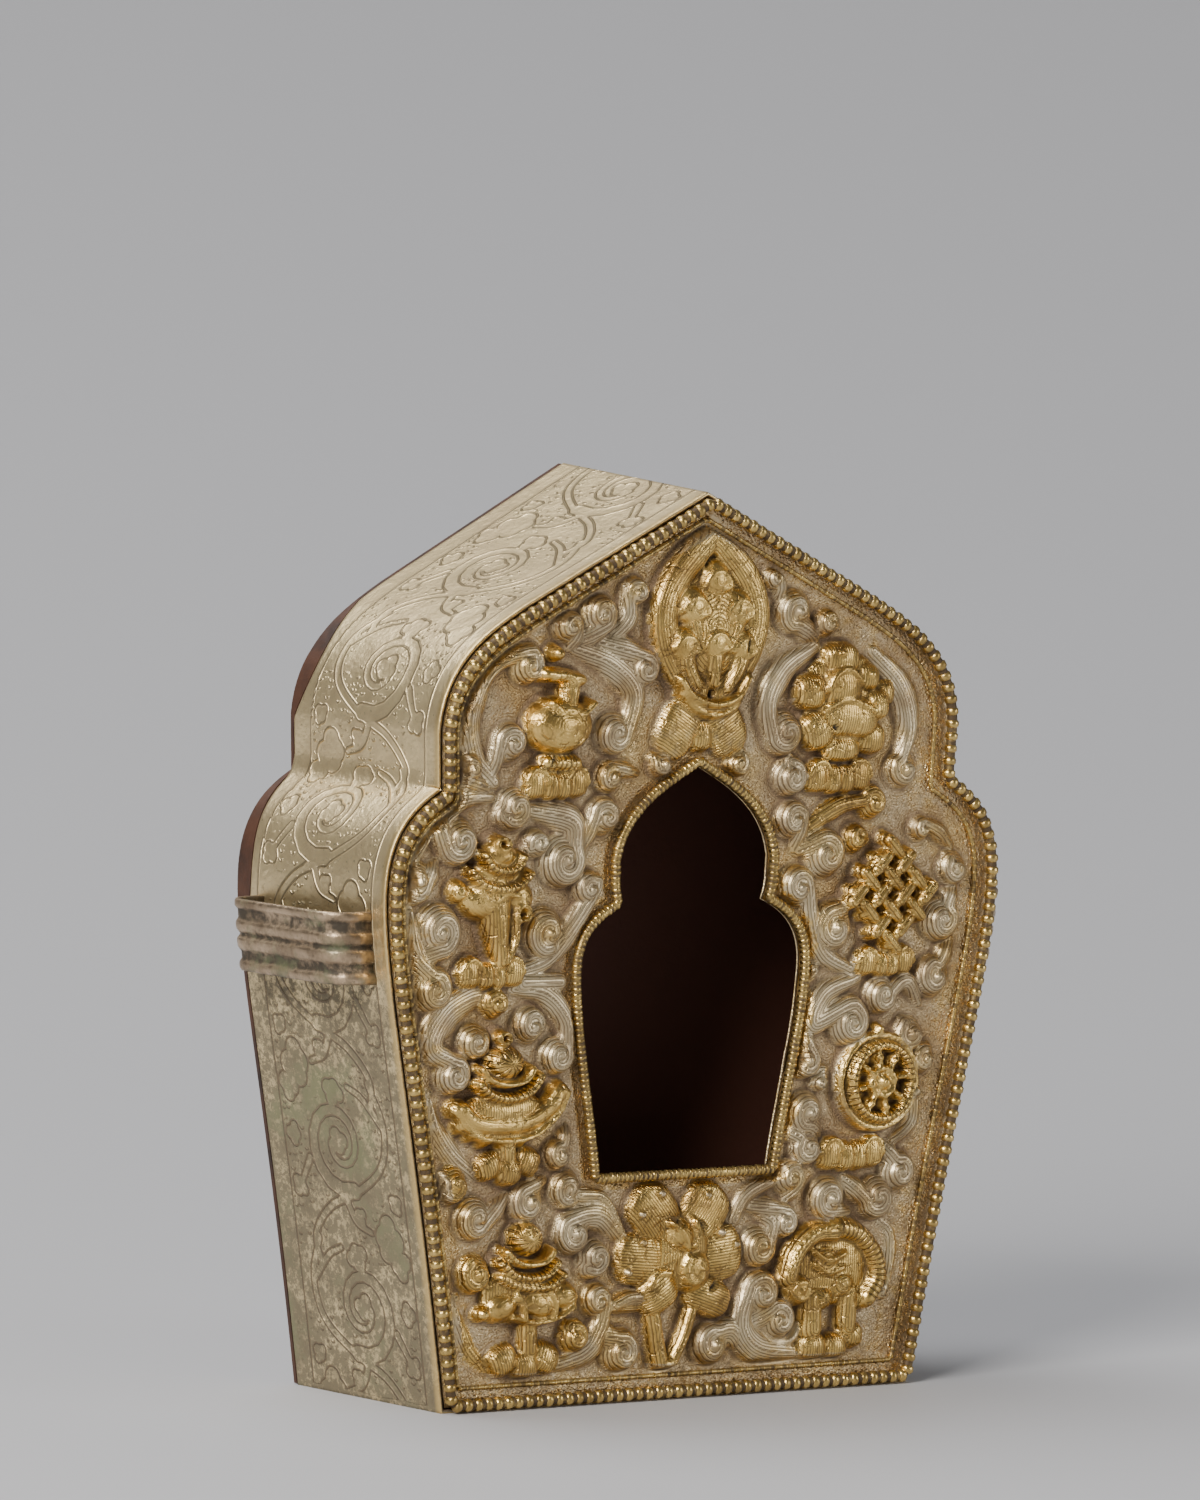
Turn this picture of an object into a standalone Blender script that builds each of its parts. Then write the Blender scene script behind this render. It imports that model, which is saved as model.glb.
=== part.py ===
"""Ghau shrine box: a cusped-arch box of silver and copper that stands on its flat underside.

The face is drawn on a plane: u runs to the right and v runs up, both in millimetres on the
measured face, with v = 0 on the centre line of the bottom beading. Depth runs into the box and
is 0 at the middle of the beading. The finished model is in metres, with its face towards -Y.
"""
import math
from dataclasses import dataclass

import bmesh
import bpy
import numpy as np
from mathutils import Vector
from mathutils.geometry import delaunay_2d_cdt

MM = 0.001

# Overall sizes
FACE_WIDTH = 108.1 * MM
FACE_HEIGHT = 126.3 * MM
BOX_DEPTH = 34.6 * MM
BACK_RISE = 2.0 * MM
ROOF_FOOT = 104.0 * MM
BAND_DIP = 2.4 * MM

# Sheets and clearances; the band's outer face stands a little outside the beading's centre line
BAND_REACH = 1.15 * MM
BAND_WALL = 0.5 * MM
FACE_SHEET = 0.6 * MM
TRAY_WALL = 0.6 * MM
FIT_GAP = 0.3 * MM

# Beaded wire round the face
BEAD_RADIUS = 1.05 * MM
BEAD_WAIST = 0.7 * MM
BEAD_PITCH = 1.78 * MM

# Relief of the face
GROUND_DEPTH = 2.2 * MM
RELIEF_RISE = 4.9 * MM
FLANGE_WIDTH = 3.0 * MM
POINT_SPACING = 1.25

# Window
WINDOW_WIDTH = 41.6 * MM
WINDOW_HEIGHT = 58.8 * MM
WINDOW_SILL = 30.8 * MM
WIRE_RADIUS = 0.7 * MM
WIRE_SIDES = 5
LIP = 0.35 * MM

# Copper tray
TRAY_PLATE = 0.9 * MM
TRAY_RIM = 9.0 * MM

# Strap loops on the flanks
LOOP_TOP = 69.4 * MM
LOOP_HEIGHT = 10.2 * MM
LOOP_FRONT = 4.6 * MM
LOOP_LENGTH = 25.6 * MM
LOOP_REACH = 6.6 * MM
LOOP_WALL = 0.9 * MM
LOOP_RIDGE = 0.55 * MM
LOOP_RIDGES = 4
LOOP_CORNER = 3.2 * MM

# The measured face that the shares of the outline and the relief refer to
MEASURED_WIDTH = 108.1
MEASURED_HEIGHT = 126.3
MEASURED_RISE = 4.9
MEASURED_WINDOW_WIDTH = 41.6
MEASURED_WINDOW_HEIGHT = 58.8

# Metres for each measured millimetre, across, up and out of the face
SCALE_U = FACE_WIDTH / MEASURED_WIDTH
SCALE_V = FACE_HEIGHT / MEASURED_HEIGHT
SCALE_H = RELIEF_RISE / MEASURED_RISE

BAND_OUTER = BAND_REACH
BAND_INNER = BAND_OUTER - BAND_WALL
BAND_FRONT = math.sqrt(max(0.0, BEAD_RADIUS ** 2 - BAND_INNER ** 2)) + FIT_GAP
SHEET_EDGE = BAND_INNER - FIT_GAP
SEAT_DEPTH = BEAD_RADIUS + FIT_GAP
PANEL_BACK = GROUND_DEPTH + FACE_SHEET
WIRE_DEPTH = GROUND_DEPTH - FIT_GAP - WIRE_RADIUS


@dataclass(frozen=True)
class Scroll:
    """A snail-like volute, and the vine that leaves its rim at the tail angle."""
    u: float
    v: float
    radius: float
    tail: float = 0.0
    way: tuple = ()
    width: float = 1.2
    peak: float = 3.0


@dataclass(frozen=True)
class Dome:
    """A rounded swelling with an oval outline."""
    u: float
    v: float
    across: float
    along: float
    rise: float
    turn: float = 0.0
    power: float = 0.5


@dataclass(frozen=True)
class Ridge:
    """A rounded bar along a smooth way."""
    way: tuple
    width: float
    rise: float


def bezier(start, out, back, end, steps):
    """Points of a cubic curve, without its last one."""
    points = []
    for index in range(steps):
        t = index / steps
        s = 1.0 - t
        weights = (s ** 3, 3 * s * s * t, 3 * s * t * t, t ** 3)
        points.append(tuple(sum(w * p[axis] for w, p in zip(weights, (start, out, back, end)))
                            for axis in (0, 1)))
    return points


def smooth_way(points, spacing):
    """Points about every spacing along a smooth curve through the given points."""
    points = [Vector(point) for point in points]
    if len(points) == 2:
        count = max(1, round((points[1] - points[0]).length / spacing))
        return [points[0].lerp(points[1], i / count) for i in range(count + 1)]
    ends = [2 * points[0] - points[1]] + points + [2 * points[-1] - points[-2]]
    result = []
    for before, start, end, after in zip(ends, ends[1:], ends[2:], ends[3:]):
        count = max(1, round((end - start).length / spacing))
        for i in range(count):
            t = i / count
            result.append(0.5 * (2 * start + (end - before) * t
                                 + (2 * before - 5 * start + 4 * end - after) * t * t
                                 + (3 * start - before - 3 * end + after) * t ** 3))
    return result + [points[-1]]


def face_stretches():
    """The right half of the face's outline, from the apex down, as stretches between corners."""
    roof = bezier((0.0, 126.3), (10.3, 121.3), (20.7, 116.3), (31.0, 111.3), 2)
    shoulder = bezier((31.0, 111.3), (38.0, 107.6), (45.0, 103.8), (45.6, 94.5), 7)
    neck = [(45.6, 94.5)]
    lobe = bezier((45.2, 86.0), (49.5, 83.6), (54.2, 80.5), (54.05, 71.5), 7)
    flank = bezier((54.05, 71.5), (54.0, 60.5), (48.0, 41.0), (41.3, 0.0), 8)
    return roof + shoulder + neck, lobe + flank, [(41.3, 0.0)]


def face_outline():
    """The face's closed outline in metres, clockwise from the apex."""
    upper, lower, foot = face_stretches()
    right = upper + lower + foot
    left = [(-u, v) for u, v in reversed(right[1:])]
    return [(u * SCALE_U, v * SCALE_V) for u, v in right + left]


def corner_points():
    """The places where the outline turns sharply, clockwise from the apex."""
    right = [(0.0, 126.3), (45.2, 86.0), (41.3, 0.0)]
    left = [(-u, v) for u, v in reversed(right[1:])]
    return [(u * SCALE_U, v * SCALE_V) for u, v in right + left]


def window_outline():
    """The centre line of the wire round the window in metres, clockwise from its apex."""
    crown = bezier((0.0, 58.8), (4.5, 56.2), (13.2, 53.0), (14.4, 45.0), 5)
    cheek = [(14.4, 45.0), (14.3, 41.5)]
    lobe = bezier((13.7, 38.9), (17.5, 37.2), (20.8, 35.0), (20.8, 29.5), 5)
    jamb = bezier((20.8, 29.5), (20.8, 22.0), (18.0, 12.0), (16.1, 0.0), 4)
    right = crown + cheek + lobe + jamb + [(16.1, 0.0)]
    left = [(-u, v) for u, v in reversed(right[1:])]
    wide = WINDOW_WIDTH / MEASURED_WINDOW_WIDTH
    tall = WINDOW_HEIGHT / MEASURED_WINDOW_HEIGHT
    return [(u * wide, WINDOW_SILL + v * tall) for u, v in right + left]


def offset_loop(loop, distance):
    """A clockwise loop moved outwards by a distance, mitred at its corners."""
    count = len(loop)
    moved = []
    for index in range(count):
        before = Vector(loop[index - 1])
        here = Vector(loop[index])
        after = Vector(loop[(index + 1) % count])
        first = (here - before).normalized()
        second = (after - here).normalized()
        normal_a = Vector((-first.y, first.x))
        normal_b = Vector((-second.y, second.x))
        middle = (normal_a + normal_b).normalized()
        moved.append(here + middle * distance / max(0.35, middle.dot(normal_a)))
    return moved


def box_ring(offset, depth):
    """The box's outline at a depth, grown by an offset; its roof climbs towards the back."""
    climb = BACK_RISE * max(0.0, depth) / BOX_DEPTH / (FACE_HEIGHT - ROOF_FOOT)
    ring = offset_loop(face_outline(), offset)
    return [(point.x, depth, point.y + climb * max(0.0, point.y - ROOF_FOOT)) for point in ring]


def back_edge_ring(offset, gap=0.0):
    """The outline along the band's back edge, which is cut back round the lobes and shoulders."""
    ring = []
    for (u, depth, v), (_, height) in zip(box_ring(offset, BOX_DEPTH), face_outline()):
        dip = 0.0
        for low, high in ((60.0, 86.0), (94.0, 109.0)):
            share = (height / SCALE_V - low) / (high - low)
            if 0.0 < share < 1.0:
                dip = BAND_DIP * math.sin(math.pi * share)
        ring.append((u, depth - dip + gap, v))
    return ring


def to_world(points):
    """Places given as u, depth, v become model places, with the underside at height 0."""
    return [(u, depth, v + BAND_OUTER) for u, depth, v in points]


def distance_to_loop(points, loop):
    """Distance of each point from a closed loop."""
    start = np.array([tuple(point) for point in loop])
    run = np.roll(start, -1, axis=0) - start
    offset = points[:, None, :] - start[None]
    share = np.clip((offset * run).sum(2) / (run ** 2).sum(1), 0.0, 1.0)
    return np.sqrt(((offset - share[..., None] * run) ** 2).sum(2)).min(1)


def inside_loop(points, loop):
    """Whether each point lies inside a closed loop."""
    inside = np.zeros(len(points), bool)
    for (u0, v0), (u1, v1) in zip(loop, loop[1:] + loop[:1]):
        crosses = (points[:, 1] < v0) != (points[:, 1] < v1)
        with np.errstate(divide="ignore", invalid="ignore"):
            at = u0 + (points[:, 1] - v0) * (u1 - u0) / (v1 - v0)
        inside ^= crosses & (points[:, 0] < at)
    return inside


def upper_left_scrolls():
    """Vines and volutes round the treasure vase."""
    return [
        Scroll(-12.6, 113.7, 2.3, 175, ((-13.7, 110.0), (-16.5, 106.9)), 1.2),
        Scroll(-18.9, 110.6, 3.2, -80, ((-22.8, 106.6),), 1.1),
        Scroll(-24.4, 109.0, 2.6, -20, ((-24.0, 105.8),), 1.0),
        Scroll(-10.8, 102.9, 2.9, 95, ((-18.5, 106.7),), 1.4),
        Scroll(-15.6, 93.8, 3.2, -10, ((-12.2, 99.5), (-16.5, 103.6), (-22.8, 105.8)), 1.6),
        Scroll(-31.4, 103.7, 3.0, 95,
               ((-38.3, 103.6), (-41.4, 97.0), (-40.0, 91.0), (-36.2, 87.3)), 1.7),
        Scroll(-34.1, 92.9, 3.0, 185, ((-36.6, 88.0),), 0.8),
        Scroll(-41.3, 89.3, 2.7, -95, ((-37.4, 86.6),), 0.9),
        Scroll(-16.2, 87.6, 2.5, 60, ((-10.6, 88.0),), 0.8),
        Scroll(-7.0, 89.2, 1.9, 150, (), 0.8),
    ]


def middle_left_scrolls():
    """Vines and volutes round the conch."""
    return [
        Scroll(-33.1, 83.6, 3.2, -150, (), 1.0),
        Scroll(-42.7, 79.2, 3.6, 195, ((-46.0, 82.6), (-41.8, 85.1), (-36.6, 85.2)), 1.2),
        Scroll(-50.1, 73.7, 3.4, 0, ((-46.2, 76.4),), 1.1),
        Scroll(-45.7, 66.6, 4.3, -100, ((-49.6, 62.8),), 1.4),
        Scroll(-46.4, 58.6, 3.6, 100, ((-50.0, 64.0), (-50.6, 69.5)), 1.4),
        Scroll(-17.0, 82.2, 3.0, 190, ((-20.4, 77.4),), 1.0),
        Scroll(-24.0, 76.1, 4.2, 40, ((-22.6, 81.6), (-29.6, 83.3)), 1.5),
        Scroll(-28.8, 78.6, 2.2, 200, (), 0.8),
        Scroll(-19.5, 72.0, 2.7, 10, ((-22.5, 66.0), (-26.0, 62.2), (-30.6, 60.6)), 1.3),
        Scroll(-26.8, 66.0, 3.8, -60, (), 1.0),
        Scroll(-35.3, 56.3, 2.4, 180, (), 0.8),
        Scroll(-29.0, 53.0, 2.9, 0, (), 0.8),
        Scroll(-23.9, 48.6, 3.0, 30, ((-22.6, 53.6), (-26.4, 57.4), (-31.6, 58.2)), 1.3),
        Scroll(-38.8, 51.0, 2.8, 20, (), 0.8),
        Scroll(-42.3, 46.5, 3.2, 100,
               ((-46.2, 50.6), (-44.0, 54.8), (-39.6, 57.0), (-36.4, 57.3)), 1.9),
    ]


def lower_left_scrolls():
    """Vines and volutes round the parasol and the banner."""
    return [
        Scroll(-41.8, 30.9, 2.9, 150, (), 0.8),
        Scroll(-46.0, 44.0, 0.9, 270, ((-44.7, 39.2), (-41.6, 35.2), (-37.0, 31.9)), 1.3, 1.4),
        Scroll(-37.7, 26.1, 3.3, -20, ((-31.7, 29.0),), 1.1),
        Scroll(-28.5, 27.9, 3.2, 90, ((-24.9, 31.0),), 0.9),
        Scroll(-21.5, 29.6, 2.9, -60, (), 0.9),
        Scroll(-23.2, 34.4, 2.4, 60, ((-21.4, 38.6),), 0.9),
        Scroll(-20.1, 23.1, 3.3, 110, ((-15.6, 25.6), (-11.0, 22.2)), 1.5),
        Scroll(-16.1, 19.5, 3.0, -130, (), 0.9),
        Scroll(-37.3, 18.2, 3.0, 120, (), 0.9),
        Scroll(-15.4, 13.5, 2.6, 0, ((-14.6, 9.2), (-17.2, 6.0), (-22.2, 4.4)), 1.4),
        Scroll(-19.2, 8.6, 2.6, 120, (), 0.8),
        Scroll(-10.7, 6.0, 3.4, 110, ((-15.4, 8.7),), 1.3),
        Scroll(-40.0, 15.0, 0.8, 200, ((-38.0, 8.4), (-34.0, 4.4)), 1.0, 1.2),
    ]


def upper_right_scrolls():
    """Vines and volutes round the lotus cluster."""
    return [
        Scroll(12.3, 115.2, 1.9, 20, ((14.0, 112.0),), 0.9),
        Scroll(16.4, 110.6, 3.4, -70, ((21.0, 106.6),), 1.2),
        Scroll(22.4, 108.8, 2.2, 0, (), 0.8),
        Scroll(15.2, 93.2, 3.4, 185, ((12.2, 97.6), (15.0, 102.2), (21.0, 105.4)), 1.5),
        Scroll(16.7, 87.0, 3.1, 90, (), 0.9),
        Scroll(6.8, 89.1, 2.3, 60, (), 0.8),
        Scroll(37.4, 87.5, 2.9, 100,
               ((38.4, 94.0), (36.4, 100.0), (31.6, 104.6)), 1.6),
    ]


def middle_right_scrolls():
    """Vines and volutes round the endless knot."""
    return [
        Scroll(17.3, 80.8, 3.0, 10, ((18.2, 76.4),), 1.0),
        Scroll(31.8, 83.0, 2.7, 170, ((25.4, 82.4), (19.6, 79.0)), 1.1),
        Scroll(23.6, 75.8, 3.8, 120, ((18.9, 76.2),), 1.2),
        Scroll(29.1, 77.8, 2.3, 0, (), 0.8),
        Scroll(18.6, 71.2, 3.3, 0, ((21.6, 66.4), (24.0, 61.6), (29.4, 59.0)), 1.3),
        Scroll(25.4, 65.1, 3.9, 80, ((28.8, 68.0),), 1.1),
        Scroll(41.2, 78.9, 2.0, 40, ((44.6, 78.6), (47.6, 76.2)), 0.9),
        Scroll(47.6, 73.0, 2.6, 120, (), 0.8),
        Scroll(45.5, 65.8, 3.5, 60, ((48.4, 70.4),), 1.1),
        Scroll(44.4, 57.5, 3.3, 60, ((48.0, 62.8),), 1.1),
        Scroll(34.9, 55.2, 3.0, 10, ((39.6, 57.0), (42.6, 53.6)), 1.0),
        Scroll(29.2, 51.5, 3.8, 100,
               ((22.6, 51.6), (24.6, 55.6), (31.0, 57.6)), 1.3),
        Scroll(40.3, 49.3, 2.8, 120, (), 0.8),
        Scroll(43.0, 45.7, 2.4, 60, (), 0.8),
        Scroll(21.2, 46.2, 2.9, 60, ((20.6, 50.6),), 1.0),
    ]


def lower_right_scrolls():
    """Vines and volutes round the wheel and the pair of fish."""
    return [
        Scroll(23.9, 43.0, 1.5, 60, ()),
        Scroll(41.3, 41.2, 2.0, 90, ((41.4, 36.6), (37.4, 33.0)), 0.9),
        Scroll(21.7, 38.7, 3.3, -70, ((24.6, 35.4),), 1.1),
        Scroll(22.0, 33.6, 2.8, 130, ((18.4, 36.4),), 0.9),
        Scroll(19.1, 29.5, 2.8, -30, ((18.6, 26.2),), 1.0),
        Scroll(26.3, 26.2, 3.5, -80, ((30.6, 24.0),), 1.2),
        Scroll(35.2, 25.9, 3.4, 180, ((29.6, 29.0),), 1.1),
        Scroll(39.2, 29.6, 3.1, 110, ((36.6, 33.8),), 0.9),
        Scroll(18.2, 23.2, 2.7, 100, ((12.0, 25.6),), 1.2),
        Scroll(13.8, 19.8, 3.2, 10, ((16.2, 23.4), (12.6, 25.4)), 1.0),
        Scroll(14.5, 13.2, 3.6, 180, ((11.2, 8.6), (14.4, 5.2), (22.4, 4.0)), 1.7),
        Scroll(17.8, 9.2, 3.3, 150, ((12.8, 8.6),), 1.2),
        Scroll(5.7, 6.1, 3.4, 60, ((9.6, 8.0), (13.0, 4.4)), 1.4),
        Scroll(37.3, 12.2, 1.4, 0, ((39.0, 20.0), (36.6, 22.6)), 0.8, 1.6),
    ]


def leaves():
    """Loose leaves between the volutes."""
    return [
        Ridge(((-51.4, 75.8), (-48.6, 79.8)), 1.5, 1.6),
        Ridge(((-30.2, 59.0), (-23.6, 58.9)), 1.5, 1.6),
        Ridge(((9.2, 23.8), (11.4, 27.2), (15.8, 29.2)), 1.4, 1.6),
        Ridge(((14.6, 7.5), (17.2, 5.9), (20.6, 5.9), (22.4, 8.4)), 0.9, 1.3),
        Ridge(((-19.2, 28.6), (-14.4, 27.8), (-10.4, 22.4)), 1.5, 1.7),
        Ridge(((-12.2, 12.6), (-6.6, 12.6)), 1.3, 2.0),
        Ridge(((22.6, 59.0), (20.8, 57.4)), 1.2, 1.4),
    ]


def petals(u, v, size, spread, rise=2.3):
    """The three leaves under an emblem."""
    return [Dome(u - spread, v + 0.3, size, size * 0.95, rise),
            Dome(u + spread, v + 0.3, size, size * 0.95, rise),
            Dome(u, v - 0.2, size * 0.95, size * 0.95, rise + 0.3)]


def jewel_plaque():
    """The leaf-shaped plaque at the top, with its heap of jewels over a crescent."""
    jewels = ((0.9, 116.0), (-3.6, 112.4), (4.8, 111.6), (0.8, 107.2), (-5.4, 107.4), (6.2, 106.6))
    parts = [Dome(0.7, 109.5, 11.0, 12.6, 2.6, 0, 0.22), Dome(0.4, 118.4, 5.4, 5.6, 2.7, 45, 0.3)]
    parts += [Dome(u, v, 2.6, 2.9, 4.9) for u, v in jewels]
    parts += [Ridge(((u * 0.9, v - 2.6), (u * 0.45 + 0.4, 100.4)), 0.9, 3.6) for u, v in jewels[3:]]
    parts.append(Ridge(((-5.4, 100.4), (-2.6, 98.4), (1.0, 97.6), (4.4, 98.4), (7.0, 101.0)), 1.1, 4.0))
    parts += [Dome(-3.9, 94.6, 4.4, 2.9, 2.4, -25), Dome(4.3, 94.4, 4.4, 2.9, 2.4, 25)]
    return parts


def treasure_vase():
    """Ball finial, collar, neck, belly and fluted foot."""
    return [
        Dome(-26.6, 105.2, 1.5, 1.3, 3.2),
        Dome(-25.9, 102.2, 3.7, 1.5, 3.4, -5, 0.35),
        Dome(-25.3, 99.3, 2.3, 2.2, 3.2, 0, 0.4),
        Dome(-25.8, 94.8, 6.0, 4.2, 4.6),
        Dome(-25.2, 89.5, 2.9, 1.7, 2.8, 0, 0.35),
    ] + petals(-26.0, 86.9, 2.3, 3.6)


def lotus_cluster():
    """Petals in layers over a rounded heart."""
    return [
        Dome(24.6, 103.8, 2.9, 2.2, 3.4),
        Dome(28.8, 101.2, 1.7, 1.6, 3.2),
        Dome(33.4, 98.8, 1.4, 1.7, 2.6),
        Dome(19.9, 99.3, 2.4, 2.2, 3.2),
        Dome(24.4, 99.6, 3.2, 2.9, 4.2),
        Dome(30.6, 96.4, 3.0, 3.0, 3.8),
        Dome(25.2, 95.2, 4.6, 2.8, 3.6),
        Dome(21.2, 93.6, 2.3, 3.0, 3.2, 20),
        Dome(25.4, 90.9, 3.0, 1.8, 3.0),
        Dome(31.0, 91.4, 2.4, 2.0, 2.6),
    ] + petals(25.4, 86.8, 2.2, 3.9)


def conch():
    """Ringed crown, two ribbed rings, and a body that curls and tapers."""
    return [
        Dome(-35.8, 78.9, 1.6, 1.3, 4.2),
        Dome(-35.6, 77.3, 3.4, 2.2, 4.0, -8, 0.35),
        Dome(-35.9, 74.8, 5.6, 2.6, 3.6, -8, 0.35),
        Dome(-36.4, 71.2, 5.4, 2.8, 3.2, -12, 0.4),
        Dome(-42.2, 72.0, 1.9, 1.8, 2.8),
        Dome(-31.0, 70.6, 2.6, 3.0, 3.0, 20),
        Ridge(((-36.2, 70.6), (-35.6, 66.4), (-35.2, 62.4)), 2.2, 3.1),
        Ridge(((-31.0, 69.0), (-31.6, 65.2), (-33.4, 62.2)), 1.0, 2.2),
    ] + petals(-36.4, 60.6, 2.2, 3.9)


def endless_knot():
    """A diagonal lattice of bands with square eyes."""
    u, v, step = 35.6, 69.6, 3.9
    parts = [Dome(u, v, 8.6, 9.0, 1.8, 45, 0.25)]
    for line in (-1, 0, 1):
        across = line * step * math.sqrt(0.5)
        reach = 6.1 if line == 0 else 6.6
        run = reach * math.sqrt(0.5)
        parts.append(Ridge(((u + across - run, v - across - run), (u + across + run, v - across + run)),
                           1.1, 3.2))
        parts.append(Ridge(((u + across - run, v + across + run), (u + across + run, v + across - run)),
                           1.1, 3.0))
    return parts + petals(35.4, 59.8, 2.1, 3.3)


def parasol():
    """Finial, dome, ribbed ring and the wide cloth under it."""
    return [
        Dome(-33.2, 51.6, 1.7, 1.4, 3.4),
        Dome(-32.8, 47.6, 4.0, 3.2, 4.2),
        Ridge(((-37.4, 45.6), (-34.6, 43.8), (-31.4, 43.4), (-27.6, 44.4), (-26.6, 46.2)), 1.5, 3.8),
        Ridge(((-41.4, 41.6), (-38.4, 39.6), (-32.6, 39.0), (-26.6, 40.0), (-23.2, 42.6)), 2.6, 3.2),
        Dome(-41.9, 41.2, 1.8, 1.8, 3.2),
        Dome(-22.9, 42.8, 1.9, 1.9, 3.2),
        Ridge(((-32.3, 37.4), (-32.2, 34.0)), 1.5, 2.4),
    ] + petals(-32.2, 33.2, 2.0, 3.4)


def wheel():
    """Beaded rim, eight spokes and a hub."""
    u, v, radius = 34.9, 42.6, 6.3
    rim = tuple((u + radius * math.cos(a), v + radius * math.sin(a))
                for a in np.linspace(0.0, 2 * math.pi, 17))
    parts = [Dome(u, v, 6.9, 6.7, 2.2, 0, 0.2), Ridge(rim, 1.2, 3.4), Dome(u, v, 2.0, 2.0, 4.2)]
    for spoke in range(4):
        a = math.pi * spoke / 4 + 0.2
        reach = (4.9 * math.cos(a), 4.9 * math.sin(a))
        parts.append(Ridge(((u - reach[0], v - reach[1]), (u + reach[0], v + reach[1])), 0.8, 3.4))
    return parts + [Dome(34.4, 50.4, 1.0, 0.9, 2.8)] + petals(30.6, 32.2, 2.2, 3.4)


def victory_banner():
    """Rounded cap, two ribbed rings and a swag of cloth."""
    return [
        Dome(-28.4, 22.2, 3.1, 2.9, 4.4),
        Ridge(((-32.6, 20.4), (-31.0, 18.9), (-28.0, 18.4), (-25.0, 18.8), (-23.8, 20.2)), 1.2, 4.0),
        Ridge(((-32.4, 18.2), (-30.4, 16.8), (-27.4, 16.4), (-23.6, 16.8), (-21.8, 18.4)), 1.3, 3.6),
        Dome(-31.6, 13.6, 3.4, 2.1, 3.0, 15),
        Dome(-24.8, 13.6, 4.0, 2.4, 3.2, -10),
        Dome(-19.9, 14.0, 2.1, 1.9, 2.8),
        Dome(-35.4, 12.2, 1.4, 1.2, 2.6),
        Ridge(((-27.4, 11.2), (-27.4, 7.4)), 1.7, 2.4),
    ] + petals(-27.6, 5.4, 2.2, 3.9)


def lotus_blossom():
    """Open flower at the foot, with a coiled heart and a forked stem."""
    return [
        Dome(-5.2, 26.3, 4.7, 3.4, 3.0, 20, 0.4),
        Dome(3.7, 26.1, 4.1, 3.3, 3.0, -20, 0.4),
        Dome(-8.2, 19.3, 4.1, 3.9, 2.8, 0, 0.4),
        Dome(7.6, 19.4, 2.9, 4.0, 2.6, 0, 0.4),
        Dome(-3.4, 14.2, 3.8, 2.9, 3.0, -25, 0.45),
        Dome(4.6, 13.8, 4.3, 2.9, 2.9, 20, 0.45),
        Dome(-0.8, 22.4, 3.4, 2.8, 4.3),
        Dome(1.2, 17.4, 3.6, 3.4, 4.5),
        Ridge(((-3.8, 10.6), (-1.6, 4.2)), 1.4, 2.3),
        Ridge(((2.2, 9.8), (-0.6, 4.2)), 1.2, 2.1),
    ]


def pair_of_fish():
    """Two scaled fish that arch over and meet."""
    return [
        Ridge(((19.6, 15.6), (21.2, 19.2), (25.0, 21.6), (28.2, 21.4)), 1.8, 3.8),
        Ridge(((27.8, 21.6), (31.6, 20.4), (34.8, 17.4), (35.2, 13.8), (32.4, 10.8)), 2.0, 4.0),
        Dome(26.9, 17.0, 4.2, 3.2, 2.8),
        Dome(21.8, 12.9, 2.7, 2.6, 3.4),
        Dome(27.0, 11.9, 3.2, 2.3, 3.0),
        Dome(31.2, 11.2, 2.6, 1.5, 3.0),
        Dome(27.4, 8.6, 1.4, 1.8, 2.4),
        Dome(24.3, 8.4, 1.5, 1.5, 2.2),
        Dome(31.2, 8.2, 1.9, 1.5, 2.2),
    ] + petals(27.2, 4.9, 2.0, 3.3)


def all_scrolls():
    return (upper_left_scrolls() + middle_left_scrolls() + lower_left_scrolls()
            + upper_right_scrolls() + middle_right_scrolls() + lower_right_scrolls())


def all_emblems():
    return (jewel_plaque() + treasure_vase() + lotus_cluster() + conch() + endless_knot() + parasol()
            + wheel() + victory_banner() + lotus_blossom() + pair_of_fish())


def tail_way(scroll):
    """The vine's centre line, from inside the volute's rim out to its end."""
    angle = math.radians(scroll.tail)
    inner = scroll.radius - scroll.width
    start = (scroll.u + inner * math.cos(angle), scroll.v + inner * math.sin(angle))
    return smooth_way((start,) + scroll.way, 1.6)


def ridge_rise(points, way, width, rise):
    """Height of a rounded bar at each point."""
    start = np.array([tuple(point) for point in way[:-1]])
    end = np.array([tuple(point) for point in way[1:]])
    run = end - start
    offset = points[:, None, :] - start[None]
    share = np.clip((offset * run).sum(2) / (run ** 2).sum(1), 0.0, 1.0)
    aside = np.sqrt(((offset - share[..., None] * run) ** 2).sum(2)).min(1) / width
    return rise * np.sqrt(np.clip(1.0 - aside ** 2, 0.0, None))


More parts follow.
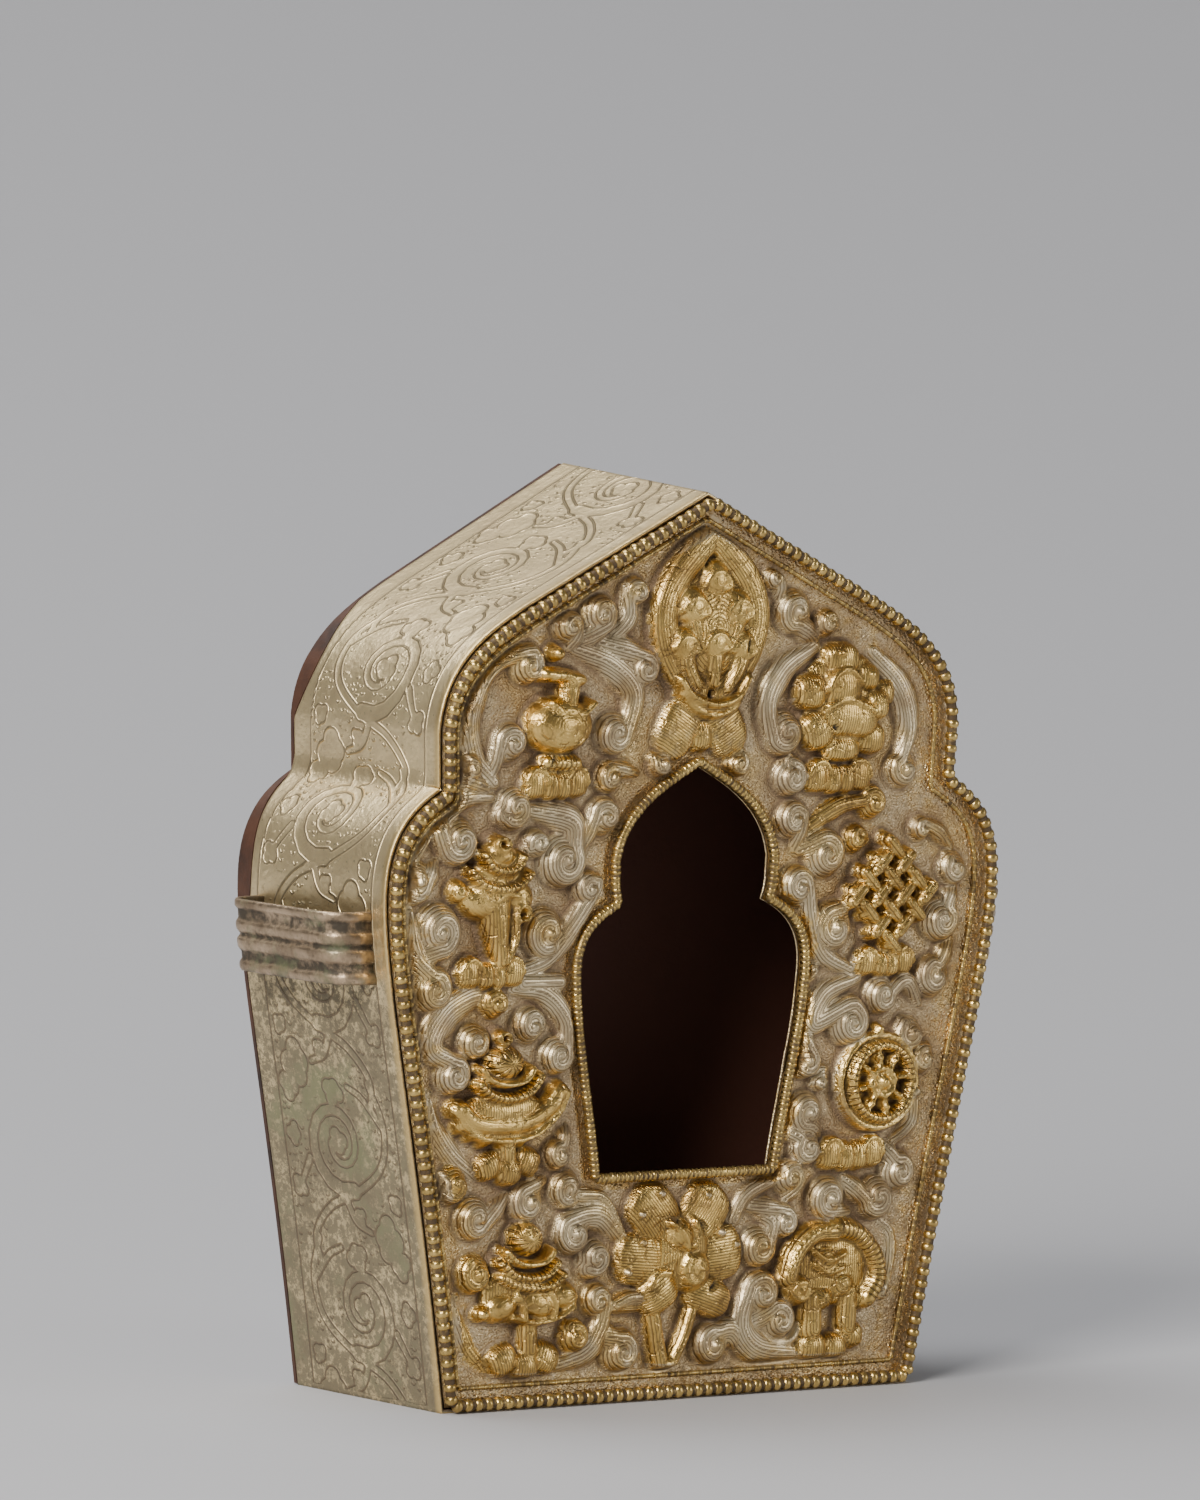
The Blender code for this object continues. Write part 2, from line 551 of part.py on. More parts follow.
def relief_rise(points):
    """Height of the carving over the ground, in measured millimetres, at each measured place."""
    height = np.zeros(len(points))
    for scroll in all_scrolls():
        away = np.hypot(points[:, 0] - scroll.u, points[:, 1] - scroll.v) / scroll.radius
        rim = 1.7 * np.clip(1.0 - away ** 4, 0.0, None) ** 0.5
        cone = (scroll.peak - 1.7) * np.clip(1.0 - away, 0.0, None) ** 1.5
        height = np.maximum(height, rim + cone)
        if scroll.way:
            height = np.maximum(height, ridge_rise(points, tail_way(scroll), scroll.width, 1.7))
    for part in leaves() + all_emblems():
        if isinstance(part, Ridge):
            height = np.maximum(height, ridge_rise(points, smooth_way(part.way, 1.6), part.width, part.rise))
        else:
            turn = math.radians(part.turn)
            du = points[:, 0] - part.u
            dv = points[:, 1] - part.v
            across = (du * math.cos(turn) + dv * math.sin(turn)) / part.across
            along = (dv * math.cos(turn) - du * math.sin(turn)) / part.along
            swell = np.clip(1.0 - across ** 2 - along ** 2, 0.0, None) ** part.power
            height = np.maximum(height, part.rise * swell)
    return height


def oval_points(u, v, across, along, turn, share, count):
    """Points round an oval at a share of its size."""
    points = []
    for index in range(count):
        a = 2 * math.pi * (index + 0.5 * (count % 2)) / count
        x = share * across * math.cos(a)
        y = share * along * math.sin(a)
        points.append((u + x * math.cos(turn) - y * math.sin(turn), v + x * math.sin(turn) + y * math.cos(turn)))
    return points


def bar_points(way, width, rail):
    """Points along a bar: its crest, or its two edges."""
    points = []
    for before, here, after in zip([way[0]] + way[:-1], way, way[1:] + [way[-1]]):
        run = (after - before).normalized()
        aside = Vector((-run.y, run.x)) * width * 0.96
        points += [tuple(here + aside), tuple(here - aside)] if rail else [tuple(here)]
    return points


def carving_points():
    """Measured places that catch the carving's shape: crests first, then edges, then the ground."""
    crests, shoulders, edges = [], [], []
    bars = [(smooth_way(p.way, 2.6), p.width) for p in leaves() + all_emblems() if isinstance(p, Ridge)]
    for scroll in all_scrolls():
        crests.append((scroll.u, scroll.v))
        shoulders += oval_points(scroll.u, scroll.v, scroll.radius, scroll.radius, 0, 0.52, 5)
        edges += oval_points(scroll.u, scroll.v, scroll.radius, scroll.radius, 0, 0.97, 9)
        if scroll.way:
            bars.append((smooth_way([tuple(tail_way(scroll)[0])] + list(scroll.way), 2.6), scroll.width))
    for part in all_emblems():
        if isinstance(part, Dome):
            turn = math.radians(part.turn)
            crests.append((part.u, part.v))
            if part.across > 2.4:
                shoulders += oval_points(part.u, part.v, part.across, part.along, turn, 0.6, 6)
            edges += oval_points(part.u, part.v, part.across, part.along, turn, 0.97, 9)
    for way, width in bars:
        crests += bar_points(way, width, False)
        edges += bar_points(way, width, True)
    ground = [(u, v) for u in np.arange(-52.0, 53.0, 3.0) for v in np.arange(3.0, 124.0, 3.0)]
    return crests + shoulders + edges + ground


def thinned(points, spacing):
    """The points in order, without those that come too close to an earlier one."""
    kept = []
    cells = {}
    for u, v in points:
        cell = (math.floor(u / spacing), math.floor(v / spacing))
        near = [q for a in (-1, 0, 1) for b in (-1, 0, 1) for q in cells.get((cell[0] + a, cell[1] + b), ())]
        if all((u - p) ** 2 + (v - q) ** 2 >= spacing ** 2 for p, q in near):
            kept.append((u, v))
            cells.setdefault(cell, []).append((u, v))
    return kept


def face_height(points):
    """Height over the ground, in metres, of the whole face sheet at places in metres."""
    edge = distance_to_loop(points, face_outline())
    outside = ~inside_loop(points, face_outline())
    edge = np.where(outside, -edge, edge)
    window = distance_to_loop(points, window_outline())
    carving = SCALE_H * relief_rise(points / np.array([SCALE_U, SCALE_V]))
    near_edge = BEAD_RADIUS + FIT_GAP
    seat = GROUND_DEPTH - SEAT_DEPTH
    flange = seat * np.clip((near_edge + FLANGE_WIDTH - edge) / FLANGE_WIDTH, 0.0, 1.0)
    free = np.clip((edge - near_edge - 0.3 * FLANGE_WIDTH) / (0.4 * FLANGE_WIDTH), 0.0, 1.0)
    free *= np.clip((window - WIRE_RADIUS - FIT_GAP) / WIRE_RADIUS, 0.0, 1.0)
    return np.maximum(flange, carving * free)


def new_object(name, vertices, faces, material):
    """An object from a closed mesh, with its faces turned outwards."""
    mesh = bpy.data.meshes.new(name)
    shape = bmesh.new()
    placed = [shape.verts.new(vertex) for vertex in vertices]
    for face in faces:
        shape.faces.new([placed[index] for index in face])
    bmesh.ops.recalc_face_normals(shape, faces=shape.faces)
    bmesh.ops.triangulate(shape, faces=shape.faces)
    shape.to_mesh(mesh)
    shape.free()
    mesh.materials.append(material)
    piece = bpy.data.objects.new(name, mesh)
    bpy.context.scene.collection.objects.link(piece)
    return piece


def metal(name, colour, roughness, metallic=1.0):
    """A plain metal finish."""
    finish = bpy.data.materials.new(name)
    finish.use_nodes = True
    shader = finish.node_tree.nodes["Principled BSDF"]
    shader.inputs["Base Color"].default_value = (*colour, 1.0)
    shader.inputs["Roughness"].default_value = roughness
    shader.inputs["Metallic"].default_value = metallic
    return finish


def build_front_panel(material):
    """The raised face sheet: carved in front, flat behind, open at the window."""
    seat_edge = BEAD_RADIUS + FIT_GAP
    rim = [tuple(point) for point in offset_loop(face_outline(), SHEET_EDGE)]
    opening = [tuple(point) for point in offset_loop(window_outline(), -LIP)]
    folds = [offset_loop(face_outline(), -seat_edge),
             offset_loop(face_outline(), -seat_edge - 0.9 * FLANGE_WIDTH),
             offset_loop(window_outline(), WIRE_RADIUS + FIT_GAP)]
    loops = [rim, opening] + [[tuple(point) for point in fold] for fold in folds]
    places = np.array([(u * SCALE_U, v * SCALE_V) for u, v in thinned(carving_points(), POINT_SPACING)])
    free = inside_loop(places, rim) & ~inside_loop(places, opening)
    for loop in loops:
        free &= distance_to_loop(places, loop) > 0.55 * MM
    outline = rim + opening
    front = [point for loop in loops for point in loop] + [tuple(point) for point in places[free]]
    front_faces = fill_between(front, loop_edges(loops), rim, opening)
    back_faces = fill_between(outline, loop_edges(loops[:2]), rim, opening)
    heights = face_height(np.array(front))
    vertices = to_world([(u, GROUND_DEPTH - h, v) for (u, v), h in zip(front, heights)])
    vertices += to_world([(u, PANEL_BACK, v) for u, v in outline])
    start = len(front)
    faces = front_faces + [tuple(start + index for index in face) for face in back_faces]
    faces += [(a, b, start + b, start + a) for a, b in loop_edges(loops[:2])]
    return new_object("front_panel", vertices, faces, material)


def loop_edges(loops):
    """The closed edges of loops whose points are numbered one loop after another."""
    edges = []
    start = 0
    for loop in loops:
        edges += [(start + i, start + (i + 1) % len(loop)) for i in range(len(loop))]
        start += len(loop)
    return edges


def fill_between(points, edges, rim, opening):
    """Triangles over the points that lie inside the rim and outside the opening."""
    result = delaunay_2d_cdt([Vector(point) / MM for point in points], edges, [], 0, 1e-6, True)
    triangles = np.array([[result[3][index][0] for index in face] for face in result[2]])
    middles = np.array(points)[triangles].mean(axis=1)
    keep = inside_loop(middles, rim) & ~inside_loop(middles, opening)
    return [tuple(int(index) for index in face) for face in triangles[keep]]


def build_side_band(material):
    """The sheet wall that wraps the box, open in front and behind."""
    rings = [box_ring(BAND_OUTER, BAND_FRONT), back_edge_ring(BAND_OUTER),
             back_edge_ring(BAND_INNER), box_ring(BAND_INNER, BAND_FRONT)]
    return loft_rings("side_band", rings, True, material)


def loft_rings(name, rings, closed, material):
    """A body through rings of as many points each, joined end to end or capped."""
    count = len(rings[0])
    vertices = [vertex for ring in rings for vertex in to_world(ring)]
    faces = []
    for index in range(len(rings) if closed else len(rings) - 1):
        a = index * count
        b = (index + 1) % len(rings) * count
        faces += [(a + i, a + (i + 1) % count, b + (i + 1) % count, b + i) for i in range(count)]
    if not closed:
        faces.append(tuple(range(count)))
        faces.append(tuple(range((len(rings) - 1) * count, len(rings) * count)))
    return new_object(name, vertices, faces, material)


def build_back_tray(material):
    """The copper tray: a plate flush with the band, with a rim that slides inside it."""
    plate_back = BOX_DEPTH + FIT_GAP + TRAY_PLATE
    floor = plate_back - TRAY_WALL
    rim_front = BOX_DEPTH - TRAY_RIM
    inner = SHEET_EDGE - TRAY_WALL
    edge = BAND_OUTER - 0.5 * FIT_GAP
    rings = [box_ring(inner, floor), box_ring(inner, rim_front), box_ring(SHEET_EDGE, rim_front),
             back_edge_ring(SHEET_EDGE, FIT_GAP), back_edge_ring(edge, FIT_GAP), box_ring(edge, plate_back)]
    return loft_rings("back_tray", rings, False, material)


def walk_between(loop, start, end):
    """The points of a closed loop from one of its corners to another."""
    first = min(range(len(loop)), key=lambda i: (Vector(loop[i]) - Vector(start)).length)
    last = min(range(len(loop)), key=lambda i: (Vector(loop[i]) - Vector(end)).length)
    count = (last - first) % len(loop)
    return [Vector(loop[(first + i) % len(loop)]) for i in range(count + 1)]


def places_along(way, count):
    """Evenly spaced places and directions along a broken line."""
    lengths = [0.0]
    for a, b in zip(way, way[1:]):
        lengths.append(lengths[-1] + (b - a).length)
    found = []
    for index in range(count):
        target = lengths[-1] * index / count
        at = max(i for i, length in enumerate(lengths[:-1]) if length <= target + 1e-12)
        run = way[at + 1] - way[at]
        found.append((way[at] + run * (target - lengths[at]) / run.length, run.normalized()))
    return found


def build_border_beading(material):
    """Beaded wire round the face: each bead swells between two waists, four-sided."""
    loop = face_outline()
    corners = corner_points()
    rings = []
    for start, end in zip(corners, corners[1:] + corners[:1]):
        way = walk_between(loop, start, end)
        length = sum((b - a).length for a, b in zip(way, way[1:]))
        beads = max(1, round(length / BEAD_PITCH))
        for index, (place, run) in enumerate(places_along(way, 2 * beads)):
            radius = BEAD_RADIUS if index % 2 else BEAD_WAIST
            rings.append((place, run, radius))
    vertices = []
    for index, (place, run, radius) in enumerate(rings):
        before = rings[index - 1][1]
        middle = (before + run).normalized()
        aside = Vector((-middle.y, middle.x)) / max(0.5, middle.dot(run))
        vertices += [(place.x + aside.x * radius, 0.0, place.y + aside.y * radius),
                     (place.x, -radius, place.y),
                     (place.x - aside.x * radius, 0.0, place.y - aside.y * radius),
                     (place.x, radius, place.y)]
    return tube_from_rings("border_beading", vertices, 4, material)


def tube_from_rings(name, vertices, sides, material):
    """A closed ring-shaped tube from rings of as many sides each."""
    count = len(vertices) // sides
    faces = []
    for index in range(count):
        a = index * sides
        b = (index + 1) % count * sides
        faces += [(a + i, a + (i + 1) % sides, b + (i + 1) % sides, b + i) for i in range(sides)]
    return new_object(name, to_world(vertices), faces, material)


def build_window_beading(material):
    """Wire round the window."""
    loop = [Vector(point) for point in window_outline()]
    vertices = []
    for index, here in enumerate(loop):
        first = (here - loop[index - 1]).normalized()
        second = (loop[(index + 1) % len(loop)] - here).normalized()
        middle = (first + second).normalized()
        aside = Vector((-middle.y, middle.x)) / max(0.5, middle.dot(first))
        for side in range(WIRE_SIDES):
            a = 2 * math.pi * side / WIRE_SIDES
            out = WIRE_RADIUS * math.cos(a)
            vertices.append((here.x + aside.x * out, WIRE_DEPTH + WIRE_RADIUS * math.sin(a),
                             here.y + aside.y * out))
    return tube_from_rings("window_beading", vertices, WIRE_SIDES, material)


def flank_reach(height, depth):
    """How far out the band's outer face stands at a height and a depth."""
    ring = box_ring(BAND_OUTER, depth)
    reach = 0.0
    for (u0, _, v0), (u1, _, v1) in zip(ring, ring[1:] + ring[:1]):
        if (v0 - height) * (v1 - height) <= 0.0 and abs(v1 - v0) > 1e-9:
            reach = max(reach, u0 + (height - v0) * (u1 - u0) / (v1 - v0))
    return reach


def loop_section(reach, wall):
    """The strap's way out from the flank and back, as distances out and depths."""
    corner = min(LOOP_CORNER, 0.5 * reach)
    inset = LOOP_WALL - wall
    front = LOOP_FRONT + inset
    back = LOOP_FRONT + LOOP_LENGTH - inset
    section = [(FIT_GAP, front)]
    for step in range(4):
        a = 0.5 * math.pi * step / 3
        section.append((reach - corner + corner * math.sin(a), front + corner - corner * math.cos(a)))
    for step in range(4):
        a = 0.5 * math.pi * step / 3
        section.append((reach - corner + corner * math.cos(a), back - corner + corner * math.sin(a)))
    section.append((FIT_GAP, back))
    return section


def build_strap_loop(name, side, material):
    """A ribbed strap that stands off one flank, open above and below."""
    levels = 2 * LOOP_RIDGES + 1
    vertices = []
    outer = loop_section(LOOP_REACH, LOOP_WALL)
    inner = loop_section(LOOP_REACH - LOOP_WALL, 0.0)
    for section, carved in ((outer, True), (inner, False)):
        for level in range(levels):
            height = LOOP_TOP - LOOP_HEIGHT * level / (levels - 1)
            groove = LOOP_RIDGE if carved and level % 2 == 0 else 0.0
            for index, (out, depth) in enumerate(section):
                straight = 2 < index < len(section) - 3
                sink = groove if straight else 0.0
                reach = flank_reach(height, depth) + out - sink
                vertices.append((side * reach, depth, height))
    count = len(outer)
    sheet = levels * count
    faces = []
    for level in range(levels - 1):
        for index in range(count - 1):
            a = level * count + index
            faces.append((a, a + 1, a + count + 1, a + count))
            faces.append((sheet + a, sheet + a + count, sheet + a + count + 1, sheet + a + 1))
        for index in (0, count - 1):
            a = level * count + index
            faces.append((a, a + count, sheet + a + count, sheet + a))
    for level in (0, levels - 1):
        for index in range(count - 1):
            a = level * count + index
            faces.append((a, a + 1, sheet + a + 1, sheet + a))
    return new_object(name, to_world(vertices), faces, material)


def stand_on_origin(pieces):
    """Moves the pieces so that the middle of the box's footprint is at the origin."""
    depths = [vertex.co.y for piece in pieces for vertex in piece.data.vertices]
    shift = -0.5 * (min(depths) + max(depths))
    for piece in pieces:
        for vertex in piece.data.vertices:
            vertex.co.y += shift


def main():
    for leftover in list(bpy.data.objects):
        bpy.data.objects.remove(leftover, do_unlink=True)
    silver = metal("parcel_gilt_silver", (0.62, 0.54, 0.38), 0.38)
    wall = metal("worn_silver", (0.55, 0.52, 0.44), 0.45)
    gilt = metal("gilding", (0.78, 0.56, 0.22), 0.32)
    strap = metal("dull_strap_metal", (0.36, 0.32, 0.26), 0.5)
    copper = metal("dark_copper", (0.22, 0.11, 0.07), 0.55)
    pieces = [
        build_front_panel(silver),
        build_side_band(wall),
        build_border_beading(gilt),
        build_window_beading(gilt),
        build_strap_loop("left_strap_loop", -1, strap),
        build_strap_loop("right_strap_loop", 1, strap),
        build_back_tray(copper),
    ]
    stand_on_origin(pieces)


main()
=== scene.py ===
"""Ghau shrine box: worked silver front with gilt signs, engraved band, beaded wires, strap lugs.

Places on the face are given in millimetres: u to the right, v up from the centre line of the
bottom beading, and height out of the face over its ground. Depth runs into the box from the
middle of the beading. Each piece is made in the model's own frame, in metres.
"""
from __future__ import annotations

import logging
import math
from dataclasses import dataclass, field
from enum import Enum
from typing import Callable, Mapping, Sequence

import bpy
import numpy as np
from mathutils import Matrix, Vector
from mathutils.geometry import delaunay_2d_cdt

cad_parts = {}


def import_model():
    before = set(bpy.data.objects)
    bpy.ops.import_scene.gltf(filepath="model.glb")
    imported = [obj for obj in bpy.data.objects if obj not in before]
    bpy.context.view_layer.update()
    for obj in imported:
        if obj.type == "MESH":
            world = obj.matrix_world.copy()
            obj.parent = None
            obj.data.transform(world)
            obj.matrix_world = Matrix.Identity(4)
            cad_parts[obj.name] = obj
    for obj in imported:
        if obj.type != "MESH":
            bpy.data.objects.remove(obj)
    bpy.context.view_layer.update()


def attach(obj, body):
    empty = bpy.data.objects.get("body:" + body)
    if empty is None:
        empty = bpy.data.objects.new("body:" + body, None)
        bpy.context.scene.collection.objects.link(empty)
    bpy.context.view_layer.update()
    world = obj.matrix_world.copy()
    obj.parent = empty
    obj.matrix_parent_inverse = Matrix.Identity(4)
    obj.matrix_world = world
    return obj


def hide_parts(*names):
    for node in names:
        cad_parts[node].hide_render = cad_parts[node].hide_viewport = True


log = logging.getLogger("shrine_box")

Way = tuple[tuple[float, float], ...]
MM = 0.001


class Tool(Enum):
    """How the chaser worked the top of a raised shape."""
    PLAIN = "smooth"
    LINED = "lines along the shape"
    FLUTED = "lines from the middle outwards"
    RIBBED = "ribs across the shape"
    COMBED = "straight lines along the leaf"


PLAIN, LINED, FLUTED, RIBBED, COMBED = Tool


@dataclass(frozen=True)
class BoxSizes:
    """Sizes shared by the pieces, in millimetres."""
    front_plane: float = -16.55
    foot_lift: float = 1.15
    depth: float = 34.6
    ground: float = 2.2
    sheet: float = 0.6
    sheet_edge: float = 0.35
    band_reach: float = 1.15
    band_wall: float = 0.5
    band_front: float = 1.125
    back_rise: float = 2.0
    roof_foot: float = 104.0
    apex: float = 126.3
    band_dip: float = 2.4
    bead_radius: float = 1.05
    bead_pitch: float = 1.78
    wire_depth: float = 1.2


SIZES = BoxSizes()


@dataclass(frozen=True)
class Scroll:
    """A snail-like volute, and the vine that leaves its rim at the tail angle."""
    u: float
    v: float
    radius: float
    hand: int = 1
    tail: float = 0.0
    way: Way = ()
    width: float = 1.2
    peak: float = 3.0
    gilt: float = 0.0


@dataclass(frozen=True)
class Dome:
    """A rounded swelling with an oval outline."""
    u: float
    v: float
    across: float
    along: float
    rise: float
    turn: float = 0.0
    power: float = 0.5
    tool: Tool = PLAIN
    gilt: float = 1.0


@dataclass(frozen=True)
class Ridge:
    """A rounded bar along a smooth way, whose width may change towards its end."""
    way: Way
    width: float
    rise: float
    tool: Tool = PLAIN
    gilt: float = 1.0
    taper: float = 1.0
    power: float = 0.42


def bezier(start: Sequence, out: Sequence, back: Sequence, end: Sequence,
           steps: int) -> list[tuple[float, float]]:
    """Points of a cubic curve, without its last one.

    Args:
        start: its first place.
        out: the handle that it leaves by.
        back: the handle that it comes in by.
        end: its last place.
        steps: how many points it gets.
    Returns:
        The points, as pairs.
    """
    points = []
    for index in range(steps):
        t = index / steps
        s = 1.0 - t
        weights = (s ** 3, 3 * s * s * t, 3 * s * t * t, t ** 3)
        points.append(tuple(sum(w * p[axis] for w, p in zip(weights, (start, out, back, end)))
                            for axis in (0, 1)))
    return points


def smooth_way(points: Sequence, spacing: float) -> np.ndarray:
    """Points about every spacing along a smooth curve through the given points.

    Args:
        points: places the curve passes through.
        spacing: wanted distance between neighbours.
    Returns:
        The places as rows.
    """
    points = np.array(points, float)
    if len(points) == 2:
        count = max(1, round(float(np.linalg.norm(points[1] - points[0])) / spacing))
        return points[0] + (points[1] - points[0]) * np.linspace(0.0, 1.0, count + 1)[:, None]
    ends = np.vstack([2 * points[0] - points[1], points, 2 * points[-1] - points[-2]])
    result = []
    for before, start, end, after in zip(ends, ends[1:], ends[2:], ends[3:]):
        count = max(1, round(float(np.linalg.norm(end - start)) / spacing))
        t = (np.arange(count) / count)[:, None]
        result.append(0.5 * (2 * start + (end - before) * t
                             + (2 * before - 5 * start + 4 * end - after) * t * t
                             + (3 * start - before - 3 * end + after) * t ** 3))
    return np.vstack(result + [points[-1:]])


def mirrored(right: list) -> list[tuple[float, float]]:
    """A closed outline from its right half."""
    return right + [(-u, v) for u, v in reversed(right[1:])]


def face_outline(fine: int = 1) -> list[tuple[float, float]]:
    """The face's closed outline at the middle of the beading, clockwise from the apex."""
    roof = bezier((0.0, 126.3), (10.3, 121.3), (20.7, 116.3), (31.0, 111.3), 2 * fine)
    shoulder = bezier((31.0, 111.3), (38.0, 107.6), (45.0, 103.8), (45.6, 94.5), 7 * fine)
    neck = bezier((45.6, 94.5), (45.5, 91.7), (45.3, 88.8), (45.2, 86.0), fine)
    lobe = bezier((45.2, 86.0), (49.5, 83.6), (54.2, 80.5), (54.05, 71.5), 7 * fine)
    flank = bezier((54.05, 71.5), (54.0, 60.5), (48.0, 41.0), (41.3, 0.0), 8 * fine)
    return mirrored(roof + shoulder + neck + lobe + flank + [(41.3, 0.0)])


def window_outline(fine: int = 1) -> list[tuple[float, float]]:
    """The middle of the wire round the window, clockwise from its apex."""
    crown = bezier((0.0, 89.6), (4.5, 87.0), (13.2, 83.8), (14.4, 75.8), 5 * fine)
    cheek = bezier((14.4, 75.8), (14.4, 74.6), (14.3, 73.4), (14.3, 72.3), fine)
    cusp = bezier((14.3, 72.3), (14.2, 71.4), (14.0, 70.5), (13.7, 69.7), fine)
    lobe = bezier((13.7, 69.7), (17.5, 68.0), (20.8, 65.8), (20.8, 60.3), 5 * fine)
    jamb = bezier((20.8, 60.3), (20.8, 52.8), (18.0, 42.8), (16.1, 30.8), 4 * fine)
    return mirrored(crown + cheek + cusp + lobe + jamb + [(16.1, 30.8)])


def offset_loop(loop: Sequence, distance: float) -> np.ndarray:
    """A clockwise loop moved outwards by a distance, mitred at its corners.

    Args:
        loop: the loop's places.
        distance: how far it moves, inwards if negative.
    Returns:
        The moved loop.
    """
    here = np.array(loop, float)
    first = here - np.roll(here, 1, axis=0)
    second = np.roll(here, -1, axis=0) - here
    first /= np.linalg.norm(first, axis=1)[:, None]
    second /= np.linalg.norm(second, axis=1)[:, None]
    normal_a = np.stack([-first[:, 1], first[:, 0]], 1)
    normal_b = np.stack([-second[:, 1], second[:, 0]], 1)
    middle = normal_a + normal_b
    middle /= np.linalg.norm(middle, axis=1)[:, None]
    return here + middle * distance / np.maximum(0.35, (middle * normal_a).sum(1))[:, None]


def distance_to_way(points: np.ndarray, way: np.ndarray) -> tuple[np.ndarray, np.ndarray]:
    """Distance from a broken line, and how far along it the nearest place lies.

    Args:
        points: places as rows.
        way: the broken line's places as rows.
    Returns:
        The distances, and the lengths along the line.
    """
    best = np.full(len(points), 1e9)
    along = np.zeros(len(points))
    done = 0.0
    for start, end in zip(way[:-1], way[1:]):
        run = end - start
        length = max(1e-9, float(np.hypot(*run)))
        offset = points - start
        share = np.clip((offset @ run) / length ** 2, 0.0, 1.0)
        away = np.hypot(offset[:, 0] - share * run[0], offset[:, 1] - share * run[1])
        closer = away < best
        best = np.where(closer, away, best)
        along = np.where(closer, done + share * length, along)
        done += length
    return best, along


def distance_to_loop(points: np.ndarray, loop: Sequence) -> np.ndarray:
    """Distance of each place from a closed loop."""
    closed = np.vstack([np.array(loop), np.array(loop)[:1]])
    return distance_to_way(points, closed)[0]


def inside_loop(points: np.ndarray, loop: Sequence) -> np.ndarray:
    """Whether each place lies inside a closed loop.

    Args:
        points: the places, as rows.
        loop: the loop's places.
    Returns:
        A truth value for each place.
    """
    inside = np.zeros(len(points), bool)
    rows = [tuple(p) for p in loop]
    for (u0, v0), (u1, v1) in zip(rows, rows[1:] + rows[:1]):
        if v0 == v1:
            continue
        crosses = (points[:, 1] < v0) != (points[:, 1] < v1)
        inside ^= crosses & (points[:, 0] < u0 + (points[:, 1] - v0) * (u1 - u0) / (v1 - v0))
    return inside


